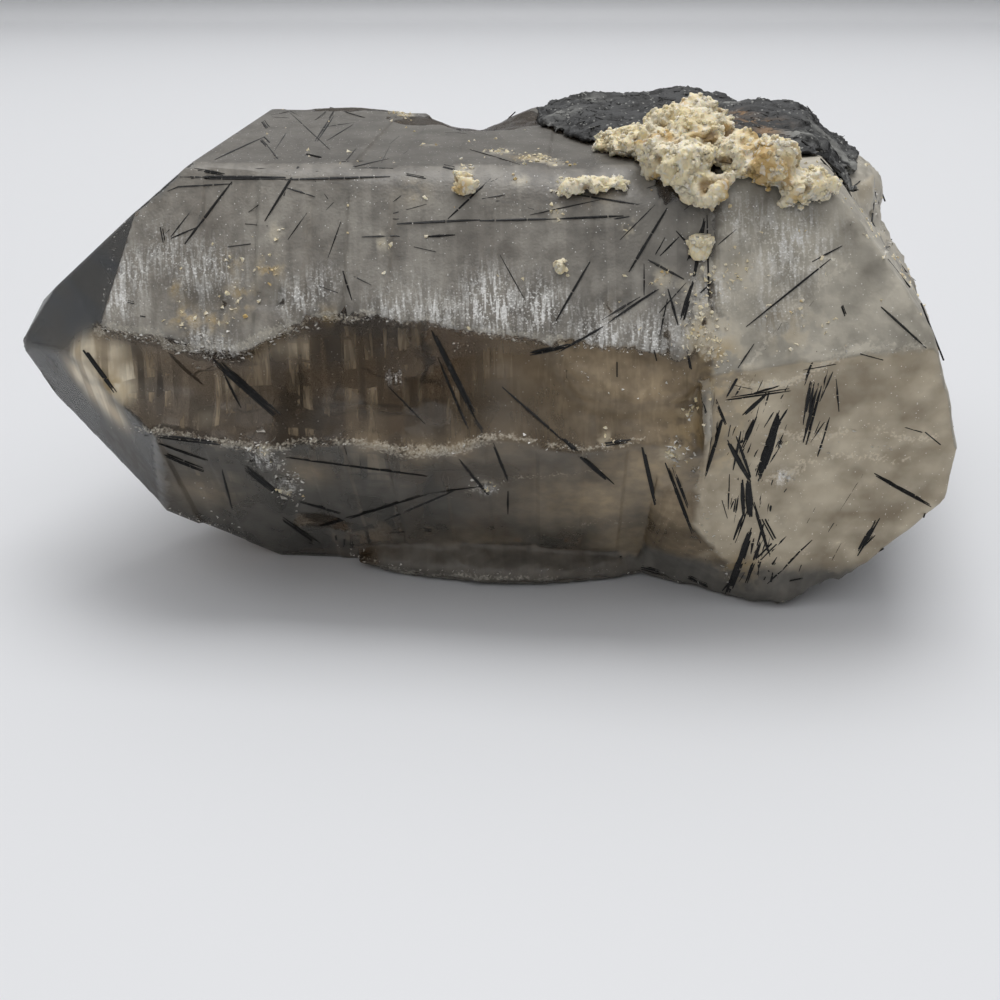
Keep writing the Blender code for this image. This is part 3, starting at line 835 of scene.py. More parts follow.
@dataclass
class Stone:
    """The whole quartz body with its satin skin.

    The spots are where the photograph shows each mark: painted glints on the satin and in bruises, pale
    frayed ledges, painted light that comes in near the tip, darker patches of smoke and painted shade, milky
    parts of the break, streaked columns in it, cream and rusty stains, and growth face that the solid's worn
    places lack (mended).

    Pairs are where a smooth rise starts and ends: in millimetres from a face, in how well a point faces
    the same way, or in millimetres along an axis for the back mass and the foot.
    """

    node: bpy.types.Object
    sighting: Sighting
    longest_edge: float = 1.4 * MM
    skin_gap: float = 0.05 * MM
    hackle: float = 0.45 * MM
    ripple: float = 0.16 * MM
    plane_size: float = 7.0 * MM
    plane_depth: float = 0.3 * MM
    worn_back: float = 0.25 * MM
    sharp_degrees: float = 28.0
    near_face: tuple[float, float] = (0.42, 0.62)
    near_worn: tuple[float, float] = (0.3, 0.6)
    near_tip: tuple[float, float] = (0.1, 0.3)
    facing: tuple[float, float] = (0.45, 0.7)
    facing_well: tuple[float, float] = (0.8, 0.95)
    back_x: tuple[float, float] = (5.0, 12.0)
    back_y: tuple[float, float] = (-14.0, -6.0)
    foot_x: tuple[float, float] = (-24.0, -20.0)
    foot_z: tuple[float, float] = (6.0, 9.0)
    # Painted shade and light by face: how pale each face's grey is painted, darker on the top than on the
    # upper front.
    face_shading: dict[str, float] = field(default_factory=lambda: {
        "top": 0.17, "upper_front": 0.9, "underside": 0.4, "lower_back": 0.5, "upper_back": 0.5,
    })
    spots: dict[str, tuple[Spot, ...]] = field(default_factory=lambda: {
        # Painted glints: where the satin catches the light.
        "painted_glints": table(
            Spot,
            (130, 270, 3.0), (165, 252, 3.0, 0.9), (205, 275, 4.0), (120, 300, 2.5), (300, 300, 2.5, 0.9),
            (322, 285, 2.5, 0.7), (400, 315, 4.0, 0.8), (440, 318, 3.0), (490, 306, 3.8, 1.7),
            (540, 310, 3.4, 1.6), (600, 336, 3.4, 1.2), (650, 340, 3.4, 1.1), (790, 245, 4.5, 1.1),
            (740, 220, 3.0, 0.6), (715, 290, 3.0, 0.5), (775, 300, 3.5, 0.5), (690, 330, 2.5, 0.7),
        ),
        "bruise": table(
            Spot,
            (200, 340, 1.6, 1.1), (225, 350, 1.8, 1.2), (265, 460, 1.8, 1.0), (285, 485, 1.6, 1.0),
            (487, 490, 1.2, 1.0), (395, 377, 0.9), (782, 477, 1.2, 0.8),
        ),
        "ledge": spots_along(
            (((100, 330), (140, 336), (180, 345), (215, 352), (240, 350), (290, 328)), 1.1, 0.8),
            (((290, 328), (320, 321), (370, 317), (430, 324), (480, 334), (560, 344)), 0.8, 0.6),
            (((140, 429), (158, 431), (226, 443), (272, 450), (300, 441), (361, 441)), 0.9, 0.6),
            (((361, 444), (404, 452), (452, 452), (491, 436)), 1.3, 0.6),
            (((491, 432), (582, 450), (640, 440)), 0.8, 0.5),
            (((352, 572), (440, 578), (560, 582)), 1.0, 0.5),
            (((740, 385), (790, 383), (850, 350), (925, 345)), 0.8, 0.6),
            (((700, 300), (716, 330), (708, 352)), 2.0, 0.6),
            (((735, 385), (775, 330), (800, 300), (850, 262)), 0.7, 0.5),
            (((775, 430), (812, 438), (845, 432)), 0.9, 0.5),
            (((800, 462), (850, 455), (905, 462)), 0.9, 0.45),
            (((870, 425), (905, 440), (935, 438)), 0.9, 0.4), (((770, 478), (800, 470)), 1.0, 0.6),
            (((765, 563), (850, 540)), 0.8, 0.35), (((430, 500), (520, 478), (600, 470)), 0.8, 0.35),
            (((520, 540), (600, 520), (680, 525)), 0.8, 0.3),
        ),
        # Painted light: where light comes in near the tip.
        "window": table(
            Spot,
            (78, 354, 2.6), (78, 374, 3.0), (88, 372, 3.2), (94, 350, 2.2), (100, 392, 3.2), (92, 390, 3.2),
            (114, 412, 3.0), (118, 388, 2.4, 0.9), (112, 352, 2.0, 0.9), (106, 404, 3.2), (104, 370, 2.4),
            (205, 418, 1.2, 0.7), (228, 383, 1.4, 0.6), (280, 345, 2.0, 0.5), (300, 345, 1.6, 0.4),
        ),
        # Darker patches: smoke in the stone and painted shade.
        "smoke_and_shade": table(
            Spot,
            (130, 350, 1.8, 0.8), (150, 385, 2.4, 0.8), (150, 415, 1.8, 0.6), (52, 364, 1.6, 0.7),
            (118, 442, 4.0, 0.9), (136, 462, 4.5), (152, 485, 4.5), (172, 500, 3.5, 0.8),
            (175, 470, 3.0, 0.5), (340, 350, 3.0, 0.8), (250, 400, 3.0, 0.5), (330, 410, 3.0, 0.6),
            (715, 212, 2.4, 0.6), (760, 200, 2.6, 0.7), (815, 215, 2.4, 0.6), (850, 232, 2.6, 0.6),
            (735, 262, 2.0, 0.5), (705, 365, 1.6, 0.6), (770, 315, 2.4, 0.5), (868, 275, 2.0, 0.5),
            (500, 400, 5.0, 0.5), (390, 350, 4.0, 0.5), (420, 520, 5.0, 0.4), (735, 440, 3.0, 0.4),
            (745, 560, 2.5, 0.5), (300, 140, 5.0, 0.5), (240, 160, 3.0, 0.4), (420, 150, 4.0, 0.35),
            (470, 240, 3.0, 0.3), (640, 240, 4.0, 0.35), (690, 270, 2.5, 0.5),
        ),
        "cream": table(
            Spot,
            (465, 172, 1.0, 0.8), (520, 180, 1.0, 0.7), (545, 160, 2.2, 0.8), (500, 152, 1.6, 0.6),
            (560, 186, 1.2), (705, 330, 2.6), (700, 300, 2.0, 0.7), (712, 275, 1.6, 0.8), (556, 212, 0.8),
            (630, 230, 0.8), (382, 243, 0.9, 0.8), (275, 232, 1.0, 0.7), (663, 278, 1.0), (683, 288, 0.8),
            (740, 270, 1.6, 0.6), (400, 110, 1.5, 0.8), (430, 145, 0.8, 0.8), (605, 440, 1.0, 0.6),
            (672, 455, 1.4, 0.8), (690, 405, 1.2, 0.6), (263, 452, 0.9), (288, 492, 0.9), (487, 485, 0.8),
            (775, 440, 1.0, 0.6),
        ),
        "stain": table(
            Spot,
            (270, 270, 1.6), (240, 300, 2.0, 0.7), (185, 318, 1.8), (215, 320, 1.6, 0.8), (175, 290, 0.9),
            (115, 385, 2.0, 0.6), (717, 354, 2.4, 1.0), (725, 385, 3.4, 0.5), (728, 420, 3.4, 0.45),
            (722, 455, 3.0, 0.4), (690, 430, 3.0, 0.4), (845, 145, 2.0, 0.9), (758, 120, 3.0, 0.9),
            (530, 158, 2.4, 0.6), (790, 330, 3.0, 0.3), (740, 570, 3.0, 0.6), (232, 262, 1.2, 0.6),
            (600, 193, 2.0, 0.3), (415, 190, 2.0, 0.25), (328, 318, 1.2, 0.6), (700, 140, 2.0, 0.4),
        ),
        "mended": table(
            Spot,
            (200, 303, 4.5), (268, 295, 3.5), (625, 300, 3.5), (692, 215, 3.5), (692, 240, 3.5),
            (692, 270, 3.5), (690, 300, 3.0), (672, 220, 3.0), (674, 250, 3.0), (676, 285, 3.0),
            (678, 315, 3.0), (680, 345, 2.5), (190, 318, 3.0), (640, 290, 2.5),
        ),
        "milky": table(
            Spot,
            (78, 362, 2.6, 0.6), (92, 385, 3.2, 0.8), (108, 412, 2.6, 0.7), (125, 370, 3.0, 0.5),
            (530, 370, 7.0, 0.5), (600, 380, 9.0, 0.9), (660, 400, 8.0), (650, 470, 9.0, 0.9),
            (570, 500, 9.0, 0.6), (630, 540, 8.0, 0.7), (690, 560, 7.0, 0.9), (510, 440, 6.0, 0.4),
            (480, 560, 6.0, 0.5), (670, 510, 6.0, 1.0), (200, 490, 5.0, 0.45), (600, 500, 7.0, 0.9),
            (420, 450, 3.0, 0.6), (370, 443, 3.0, 0.6), (310, 470, 3.5, 0.5), (460, 448, 3.0, 0.6),
        ),
        "columns": table(
            Spot,
            (95, 375, 4.0, 0.6), (118, 405, 4.0, 0.8), (130, 375, 3.6, 1.0), (160, 385, 4.0, 0.8),
            (205, 415, 4.0, 0.8), (228, 385, 3.4, 0.7), (270, 365, 4.5, 0.7), (320, 350, 5.0, 0.7),
            (365, 385, 5.0, 0.6), (440, 385, 5.0, 0.45), (215, 480, 4.0, 0.4), (380, 465, 4.5, 0.35),
            (300, 415, 4.5, 0.6), (400, 345, 4.0, 0.5), (480, 370, 4.0, 0.35),
        ),
    })

    def growth(self, points: np.ndarray, normals: np.ndarray) -> dict[str, np.ndarray]:
        """Where the crystal's own faces are.

        Args:
            points: the body's points.
            normals: their directions.

        Returns:
            How satin and how pale each point is, how far it is on a tip face, on the lower front face
            and on any growth face, and how far it is on an edge between two.
        """
        main = self.main_part(points)
        satin, pale, film, lower, grown, edge = (np.zeros(len(points)) for _ in range(6))
        for name, (turn, reach) in FORM.prism.items():
            direction = FORM.around(turn)
            level = (1.0 - smoothstep(*self.near_face, np.abs(FORM.height(points, direction, reach)))) * main
            near = level * smoothstep(*self.facing, normals @ np.array(direction))
            edge = np.maximum(edge, np.minimum(grown, level))
            grown = np.maximum(grown, near)
            # pale is the painted shade and light of each face: set by face here, then on the worn edge and
            # the tip faces, and low on the lower front face.
            if name in self.face_shading:
                satin = np.maximum(satin, near)
                pale = np.where(near > 0.5, self.face_shading[name], pale)
            else:
                lower = near
        direction, reach = FORM.worn()
        worn = 1.0 - smoothstep(*self.near_worn, np.abs(FORM.height(points, direction, reach)))
        worn *= smoothstep(*self.facing_well, normals @ np.array(direction)) * main
        satin = np.maximum(satin, worn * 0.95)
        pale = pale * (1.0 - worn) + 0.62 * worn
        grown = np.maximum(grown, worn)
        for lean, turn, reach in FORM.tip.values():
            direction = FORM.leaning(lean, turn)
            near = 1.0 - smoothstep(*self.near_tip, np.abs(FORM.height(points, direction, reach)))
            near *= smoothstep(*self.facing_well, normals @ np.array(direction))
            grown = np.maximum(grown, near)
            edge = np.maximum(edge, near)
            film = np.maximum(film, near)
            satin *= 1.0 - near
            pale = pale * (1.0 - near) + near * 0.3
        pale = np.maximum(pale, lower * 0.16)
        return {"satin": satin, "pale": pale, "film": film, "lower": lower, "grown": grown, "edge": edge}

    @staticmethod
    def main_part(points: np.ndarray) -> np.ndarray:
        """1 on the main crystal and 0 beyond its blunt end."""
        return smoothstep(*FORM.blunt_end, FORM.along(points))

    def masks(self, points: np.ndarray, normals: np.ndarray) -> dict[str, np.ndarray]:
        """Where each finish shows on the stone.

        Args:
            points: the body's points.
            normals: their directions.

        Returns:
            A share from 0 to 1 at each point, for each name that the materials read.
        """
        found = self.growth(points, normals)
        found |= {name: spot_mask(points, self.sighting, spots) for name, spots in self.spots.items()}
        mended = smoothstep(0.3, 0.7, found["mended"]) * (1.0 - found["grown"])
        found["satin"] = np.maximum(found["satin"], mended)
        found["pale"] += mended * 0.8
        satin, lower, grown = found["satin"], found["lower"], np.maximum(found["grown"], mended)
        blunt = 1.0 - self.main_part(points)
        # The back mass is behind and to the right, and the foot is what lies near the floor there.
        x, y, z = (points / MM).T
        back = smoothstep(*self.back_y, y) * smoothstep(*self.back_x, x)
        foot = (1.0 - smoothstep(*self.foot_z, z)) * smoothstep(*self.foot_x, x)
        rough = np.maximum(back, foot) * (1.0 - grown)
        raised = smoothstep(0.15, 0.35, normals[:, 2])
        ragged_x = x + 9.0 * smooth_noise(points, 8.0 * MM, 7.0, 2)
        frost = np.maximum(blunt * raised * (1.0 - back), 0.7 * back * smoothstep(30.0, 40.0, ragged_x))
        haze = blunt * smoothstep(0.35, 0.65, -normals[:, 1]) * (1.0 - raised) * (1.0 - foot)
        corner = haze * smoothstep(0.2, 0.38, -normals[:, 0])
        haze -= corner
        side = blunt * (1.0 - raised) * (1.0 - haze) * (1.0 - corner)
        broken = np.maximum((1.0 - grown) * (1.0 - blunt) * (1.0 - rough), corner)
        clouds = np.clip(0.5 + 0.9 * smooth_noise(points, 7.0 * MM, 3.0, 3), 0.0, 1.0)
        rough = np.maximum(rough, side)
        found |= {"broken": broken, "frost": frost, "haze": haze, "rough_back": rough, "clouds": clouds}
        found["blunt"] = blunt
        found["hidden"] = smoothstep(0.0, 0.3, normals[:, 1]) + smoothstep(0.5, 0.8, normals[:, 0])
        found["hidden"] = np.clip(found["hidden"], 0.0, 1.0) * smoothstep(4.0, 8.0, z)
        found["pale"] = np.maximum(found["pale"], rough * 0.85 * (1.0 - foot) + foot * 0.4)
        dusting = satin * 0.006 + frost * 0.02
        crumbs = found["cream"] * 0.9 + found["stain"] * 0.35 * (satin + frost) + dusting
        found["crumbs"] = np.clip(crumbs, 0.0, 1.0)
        found["milky"] = np.clip(found["milky"], 0.0, 1.0) * (broken + lower)
        found["columns"] *= broken + lower
        # Painted glints on the satin and frost, and on the bruises.
        found["painted_glints"] = found["painted_glints"] * smoothstep(0.3, 0.6, satin + frost) + found["bruise"]
        return found

    def body_mesh(self) -> bpy.types.Mesh:
        """The fine surface of the stone: crisp growth faces, smooth breaks, a hackly back."""
        bm = welded(self.node)
        refine(bm, self.longest_edge)
        mesh = finished(bm, "stone")
        points = points_of(mesh)
        masks = self.masks(points, normals_of(mesh))
        free = np.clip(masks["broken"] + masks["rough_back"], 0.0, 1.0)
        share = np.maximum(0.5 * free, 0.15 * masks["blunt"])
        share = np.maximum(share, 0.35 * masks["satin"] * (1.0 - masks["edge"]))
        points = relax(mesh, points, share, 10)
        rough = masks["rough_back"]
        hackles = smooth_noise(points, 3.2 * MM, 5.0, 3) * self.hackle
        ripples = smooth_noise(points * np.array((1.0, 1.0, 1.8)), 5.0 * MM, 9.0, 2) * self.ripple
        smooth = np.clip(masks["broken"] + masks["haze"] + masks["frost"], 0.0, 1.0)
        planes = facets(points, self.plane_size, 3) * self.plane_depth
        lift = rough * (hackles + planes) + smooth * (1.0 - rough) * ripples
        lift += 0.4 * (masks["haze"] + masks["frost"] * masks["blunt"]) * planes - self.worn_back * rough
        points = points + normals_of(mesh) * lift[:, None]
        points[:, 2] = np.maximum(points[:, 2], self.skin_gap)
        move_points(mesh, points)
        for name, values in masks.items():
            keep_number(mesh, name, values)
        shade(mesh, self.sharp_degrees)
        return mesh

    def build(self) -> bpy.types.Object:
        """Make the clear stone and its skin.

        Returns:
            The clear stone, whose surface carries the masks.
        """
        mesh = self.body_mesh()
        stone = link("clear_stone", mesh, SmokyGlass().make())
        skin_mesh = mesh.copy()
        points = points_of(mesh) + normals_of(mesh) * self.skin_gap
        points[:, 2] = np.maximum(points[:, 2], 0.0)
        move_points(skin_mesh, points)
        skin = link("satin_skin", skin_mesh, SatinSkin().make())
        skin.visible_shadow = False
        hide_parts("quartz_crystal")
        for piece in (stone, skin):
            hand_over(piece)
        return stone


def hand_over(piece: bpy.types.Object, top: float = math.inf) -> None:
    """Let a finished piece ride on the body.

    Args:
        piece: the piece, whose points are kept between the floor and top.
        top: how high it may reach.
    """
    points = points_of(piece.data)
    points[:, 2] = np.clip(points[:, 2], 0.0, top)
    move_points(piece.data, points)
    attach(piece, "root")
    LOG.info("%s: %d faces", piece.name, len(piece.data.polygons))


# Tourmaline


@dataclass(frozen=True)
class BlackTourmaline(Finish):
    """Glossy black prisms with grooves along them and a dusty, broken look."""

    name: str = "black_tourmaline"
    black: Colour = (0.005, 0.005, 0.005)
    grey: Colour = (0.075, 0.072, 0.068)
    break_size: float = 0.5 * MM
    groove_size: float = 0.25 * MM
    relief: float = 0.1 * MM

    def paint(self, graph: Graph) -> None:
        """Add the nodes: near black with greyer breaks."""
        place = graph.place()
        breaks = graph.noise(place, self.break_size, 3.0)
        tone = graph.mix(breaks.rise(0.55, 0.75) * 0.5, self.black, self.grey)
        self.surface(
            graph, Base_Color=tone, Roughness=0.30 + 0.35 * breaks, IOR=1.63, Specular_IOR_Level=0.25,
            Normal=graph.bump(graph.noise(place, self.groove_size, 2.0), self.relief, 0.5))


class Line(NamedTuple):
    """A needle as the photograph shows it: two pixels, its thickness and its depth in mm at each end."""

    x: float
    y: float
    end_x: float
    end_y: float
    thickness: float
    depth: float = -0.05
    end_depth: float = -0.05


class Strays(NamedTuple):
    """Thin needles scattered in a box of pixels: how many, how long in pixels, and their slope in degrees."""

    left: float
    top: float
    right: float
    bottom: float
    count: int
    longest: float
    slope: float
    spread: float
    thickness: float = 0.24


@dataclass
class Needles:
    """Black tourmaline needles in the stone's surface, placed where the photograph shows them.

    A needle is one strand, or three or seven where it is thicker than thin and thick, in millimetres.
    A strand's width is a share of the needle's, and some of its short lengths end in a gap.
    """

    sighting: Sighting
    material: bpy.types.Material
    piece_pixels: float = 16.0
    thin: float = 0.5
    thick: float = 1.0
    strand_widths: dict[int, float] = field(default_factory=lambda: {1: 0.85, 3: 0.5, 7: 0.3})
    bundle_spread: float = 0.42
    ragged_end: float = 0.15
    gap: float = 0.10
    gap_chance: float = 0.35
    stray_depths: tuple[float, float] = (-0.05, 0.2)
    stray_seed: int = 12
    in_break: tuple[Line, ...] = table(
        Line,
        (430, 326, 477, 420, 0.75), (437, 357, 468, 430, 0.55), (474, 418, 484, 432, 0.5),
        (492, 440, 510, 484, 0.5), (508, 491, 508, 515, 0.4), (502, 387, 562, 440, 0.4),
        (560, 438, 613, 486, 0.85), (212, 357, 280, 418, 1.15), (223, 371, 243, 411, 0.6),
        (73, 333, 120, 398, 0.6), (167, 351, 203, 385, 0.8, 0.5, 0.6), (144, 434, 225, 444, 0.7),
        (152, 440, 215, 462, 0.5), (162, 453, 208, 471, 0.75), (157, 448, 162, 511, 0.5, 0.3, 0.3),
        (203, 470, 207, 500, 0.4, 0.4, 0.4), (222, 468, 233, 511, 0.6), (244, 466, 280, 495, 1.0),
        (280, 455, 429, 475, 0.6), (286, 430, 310, 446, 0.8, 0.5, 0.5), (298, 501, 346, 515, 0.5),
        (280, 516, 320, 544, 0.8), (308, 530, 432, 492, 0.6), (385, 520, 457, 489, 0.45),
        (430, 493, 481, 486, 0.35), (457, 456, 490, 496, 0.55), (387, 385, 425, 424, 0.3),
        (424, 530, 432, 531, 1.1), (385, 533, 424, 530, 0.2), (603, 444, 631, 440, 0.85),
        (640, 440, 656, 510, 0.8), (664, 458, 695, 540, 0.6), (672, 466, 688, 508, 0.5),
        (335, 535, 336, 541, 0.6), (344, 538, 343, 546, 0.5), (351, 534, 352, 549, 0.5),
        (309, 543, 313, 544, 0.6), (654, 350, 657, 362, 0.45), (617, 362, 617, 377, 0.45),
        (687, 350, 691, 370, 0.55), (567, 370, 567, 378, 0.4), (505, 325, 560, 372, 0.2, 0.3, 0.3),
        (650, 580, 672, 586, 1.1), (700, 590, 722, 600, 1.0), (400, 470, 470, 470, 0.3, 0.3, 0.3),
    )
    in_blunt_end: tuple[Line, ...] = table(
        Line,
        (701, 395, 707, 415, 0.5), (705, 477, 725, 411, 0.7), (715, 399, 727, 428, 0.5),
        (734, 385, 752, 389, 0.45), (725, 399, 793, 389, 0.5), (742, 417, 768, 393, 1.0),
        (742, 452, 758, 415, 0.9), (756, 485, 781, 411, 1.5), (725, 440, 750, 485, 1.3),
        (736, 436, 751, 480, 0.7), (750, 395, 781, 386, 0.5), (746, 478, 748, 520, 1.8),
        (781, 452, 789, 413, 0.5, 0.2, 0.2), (803, 448, 820, 383, 0.9), (807, 415, 813, 379, 1.1),
        (815, 465, 817, 415, 0.5, 0.3, 0.3), (836, 379, 839, 413, 0.45), (832, 526, 867, 432, 0.5, 0.3, 0.2),
        (801, 575, 822, 530, 0.7, 0.2, 0.2), (812, 520, 818, 470, 0.5, 0.5, 0.5), (873, 473, 934, 507, 0.85),
        (905, 426, 925, 432, 0.55), (925, 432, 942, 446, 0.45), (856, 555, 879, 516, 0.7),
        (862, 546, 874, 534, 0.6), (762, 518, 775, 542, 0.9), (775, 542, 757, 560, 0.9),
        (727, 597, 752, 528, 1.3), (746, 585, 762, 538, 0.6), (766, 600, 775, 563, 0.4),
        (789, 581, 803, 578, 0.5), (764, 470, 776, 430, 0.7), (733, 470, 741, 430, 0.4),
        (770, 500, 790, 455, 0.35, 0.2, 0.2), (748, 505, 733, 545, 0.7), (752, 500, 770, 560, 0.6),
        (746, 327, 832, 258, 0.3), (762, 383, 820, 321, 0.25, 0.1, 0.1), (842, 305, 846, 316, 0.6),
        (881, 307, 926, 348, 0.45), (860, 354, 883, 360, 0.45), (803, 370, 836, 364, 0.25),
        (738, 368, 754, 344, 0.3), (812, 262, 842, 246, 0.3), (850, 225, 872, 232, 0.4),
        (700, 540, 706, 560, 0.3), (790, 560, 812, 540, 0.3), (722, 500, 728, 520, 0.3),
    )
    on_faces: tuple[Line, ...] = table(
        Line,
        (334, 115, 315, 144, 0.5), (307, 154, 265, 221, 0.4), (306, 153, 324, 157, 0.9),
        (262, 122, 267, 129, 1.1), (262, 139, 268, 145, 1.2), (266, 144, 287, 172, 0.3),
        (266, 124, 294, 141, 0.6, 0.1, 0.1), (353, 125, 327, 141, 0.25), (356, 149, 338, 171, 0.25),
        (389, 159, 338, 171, 0.3), (179, 178, 290, 179, 0.6), (285, 180, 390, 177, 0.45),
        (194, 169, 226, 175, 0.5), (161, 188, 232, 184, 0.3), (215, 160, 265, 137, 0.3),
        (248, 153, 241, 172, 0.25), (232, 182, 185, 244, 0.45), (198, 227, 170, 239, 0.3),
        (161, 227, 164, 243, 0.7), (287, 188, 315, 197, 0.35), (291, 178, 284, 196, 0.4),
        (315, 181, 328, 199, 0.25), (307, 213, 287, 241, 0.25), (245, 224, 268, 226, 0.35),
        (228, 247, 251, 244, 0.45), (341, 222, 328, 258, 0.2), (397, 224, 480, 220, 0.45),
        (480, 221, 560, 219, 0.4), (560, 219, 625, 216, 0.4), (406, 174, 427, 178, 0.5),
        (431, 160, 439, 172, 0.35), (442, 166, 455, 169, 0.75), (448, 219, 492, 178, 0.3),
        (343, 271, 352, 300, 0.4), (343, 271, 371, 285, 0.25), (319, 286, 338, 293, 0.35),
        (362, 237, 397, 236, 0.4), (425, 237, 455, 235, 0.4), (414, 247, 436, 252, 0.3),
        (127, 301, 135, 303, 0.5), (140, 315, 146, 316, 0.5), (529, 354, 574, 344, 0.75),
        (556, 352, 605, 325, 0.6), (605, 325, 662, 287, 0.5), (602, 320, 640, 297, 0.35),
        (556, 321, 590, 262, 0.4), (629, 272, 668, 207, 0.45), (482, 199, 505, 195, 0.35),
        (648, 260, 685, 280, 0.45), (644, 264, 644, 297, 0.25), (660, 256, 679, 237, 0.3),
        (676, 231, 695, 252, 0.35), (705, 215, 693, 280, 0.7), (693, 280, 680, 321, 0.6),
        (707, 215, 709, 305, 0.3), (668, 289, 678, 325, 0.4), (660, 336, 668, 297, 0.3),
        (700, 235, 688, 262, 0.6), (690, 300, 684, 322, 0.6), (500, 255, 525, 300, 0.18),
        (575, 195, 640, 205, 0.3), (530, 215, 600, 200, 0.2), (345, 112, 365, 118, 0.4),
        (620, 240, 655, 205, 0.2), (290, 113, 330, 150, 0.2), (470, 150, 520, 165, 0.3),
    )
    strays: tuple[Strays, ...] = table(
        Strays,
        (230, 115, 450, 175, 46, 48, -35, 45), (150, 185, 330, 250, 20, 44, -55, 25),
        (380, 185, 620, 240, 30, 50, -15, 30), (640, 205, 715, 330, 38, 44, -62, 28),
        (340, 245, 600, 300, 8, 26, -60, 40, 0.12), (705, 385, 830, 500, 30, 44, -68, 14, 0.22),
        (730, 210, 880, 350, 10, 34, -40, 30, 0.12), (180, 440, 330, 520, 12, 30, 40, 50),
        (330, 450, 560, 530, 12, 30, -20, 50, 0.12), (715, 520, 800, 590, 12, 36, -62, 25, 0.25),
        (722, 400, 775, 480, 34, 52, -68, 12, 0.42), (728, 480, 768, 585, 30, 44, -68, 24, 0.42),
        (800, 385, 825, 470, 10, 50, -72, 8, 0.3), (800, 500, 850, 585, 8, 60, -60, 10, 0.2),
    )

    def drawn(self) -> list[Line]:
        """The stray needles as lines."""
        chance = np.random.default_rng(self.stray_seed)
        lines = []
        for box in self.strays:
            for _ in range(box.count):
                x = chance.uniform(box.left, box.right)
                y = chance.uniform(box.top, box.bottom)
                angle = math.radians(box.slope + chance.uniform(-1.0, 1.0) * box.spread)
                length = box.longest * chance.uniform(0.3, 1.0)
                thickness = box.thickness * chance.uniform(0.5, 1.4)
                end_x, end_y = x + length * math.cos(angle), y + length * math.sin(angle)
                depths = [chance.uniform(*self.stray_depths) for _ in range(2)]
                lines.append(Line(x, y, end_x, end_y, thickness, *depths))
        return lines

    def mesh_of(self, name: str, lines: Sequence[Line], seed: int) -> bpy.types.Object:
        """One mesh of needles, each in short lengths that follow the stone, side by side where it is thick.

        Args:
            name: the piece's name.
            lines: the needles.
            seed: which random turns, gaps and ends they get.

        Returns:
            The piece.
        """
        chance = np.random.default_rng(seed)
        bm = bmesh.new()
        for line in lines:
            length = math.hypot(line.end_x - line.x, line.end_y - line.y)
            across = np.array((line.y - line.end_y, line.end_x - line.x)) / length
            strands = 1 if line.thickness < self.thin else 3 if line.thickness < self.thick else 7
            width = line.thickness * PHOTOGRAPH.pixels_per_mm * (strands > 1)
            ragged = self.ragged_end * (strands > 1)
            for _ in range(strands):
                aside = across * chance.uniform(-self.bundle_spread, self.bundle_spread) * width
                first, last = chance.uniform(0.0, ragged), 1.0 - chance.uniform(0.0, ragged)
                self.add_strand(bm, line, aside, first, last, strands, chance)
        return link(name, finished(bm, name), self.material)

    def add_strand(self, bm: bmesh.types.BMesh, line: Line, aside: np.ndarray, first: float, last: float,
                   strands: int, chance: np.random.Generator) -> None:
        """Add one strand of a needle in short lengths.

        Args:
            bm: the mesh it is added to.
            line: the needle.
            aside: the strand's shift from the needle's middle, in pixels.
            first: where it starts, as a share of the needle.
            last: where it ends.
            strands: how many strands the needle has.
            chance: random numbers.
        """
        start = np.array((line.x, line.y)) + aside
        way = np.array((line.end_x - line.x, line.end_y - line.y))
        count = max(1, round((last - first) * math.hypot(*way) / self.piece_pixels))
        places = []
        for step in range(count + 1):
            share = first + (last - first) * step / count
            depth = line.depth + (line.end_depth - line.depth) * share
            places.append(self.sighting.inside(*(start + way * share), depth * MM))
        radius = line.thickness * MM / 2.0 * self.strand_widths[strands]
        turn = chance.uniform(0.0, 1.0)
        shares = [step / count for step in range(count + 1)]
        widths = [0.4 + 0.6 * math.sin(math.pi * share) ** 0.5 for share in shares]
        for step, (low, high) in enumerate(zip(places, places[1:])):
            gap = (high - low) * (self.gap * (chance.random() < self.gap_chance))
            size = radius * chance.uniform(0.85, 1.1)
            prism_between(bm, low, high - gap, size * widths[step], turn, widths[step + 1] / widths[step])

    def build(self) -> None:
        """Make the needles of each part of the stone."""
        groups = {
            "break_needles": self.in_break, "spray_needles": self.in_blunt_end,
            "face_needles": (*self.on_faces, *self.drawn()),
        }
        for seed, (name, lines) in enumerate(groups.items()):
            piece = self.mesh_of(name, lines, seed)
            if name == "break_needles":
                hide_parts("tourmaline_needle_1", "tourmaline_needle_2")
            if name == "face_needles":
                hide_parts("tourmaline_needle_3", "tourmaline_needle_4")
            hand_over(piece)


# Chips along broken edges


@dataclass(frozen=True)
class ChippedQuartz(Finish):
    """White crushed quartz on the broken edges."""

    name: str = "chipped_quartz"
    white: Colour = (0.92, 0.90, 0.85)
    grey: Colour = (0.55, 0.52, 0.46)
    chip_size: float = 0.5 * MM
    crack_size: float = 0.3 * MM
    relief: float = 0.1 * MM

    def paint(self, graph: Graph) -> None:
        """Add the nodes."""
        place = graph.place()
        tone = graph.mix(graph.cells(place, self.chip_size).chance(), self.grey, self.white)
        self.surface(
            graph, Base_Color=tone, Roughness=0.30,
            Normal=graph.bump(graph.noise(place, self.crack_size, 2.0), self.relief, 0.7))


class Trail(NamedTuple):
    """A line of chips: its pixels, how crowded it is, its spread in pixels, and the largest size in mm."""

    pixels: tuple[tuple[float, float], ...]
    crowd: float
    spread: float
    largest: float


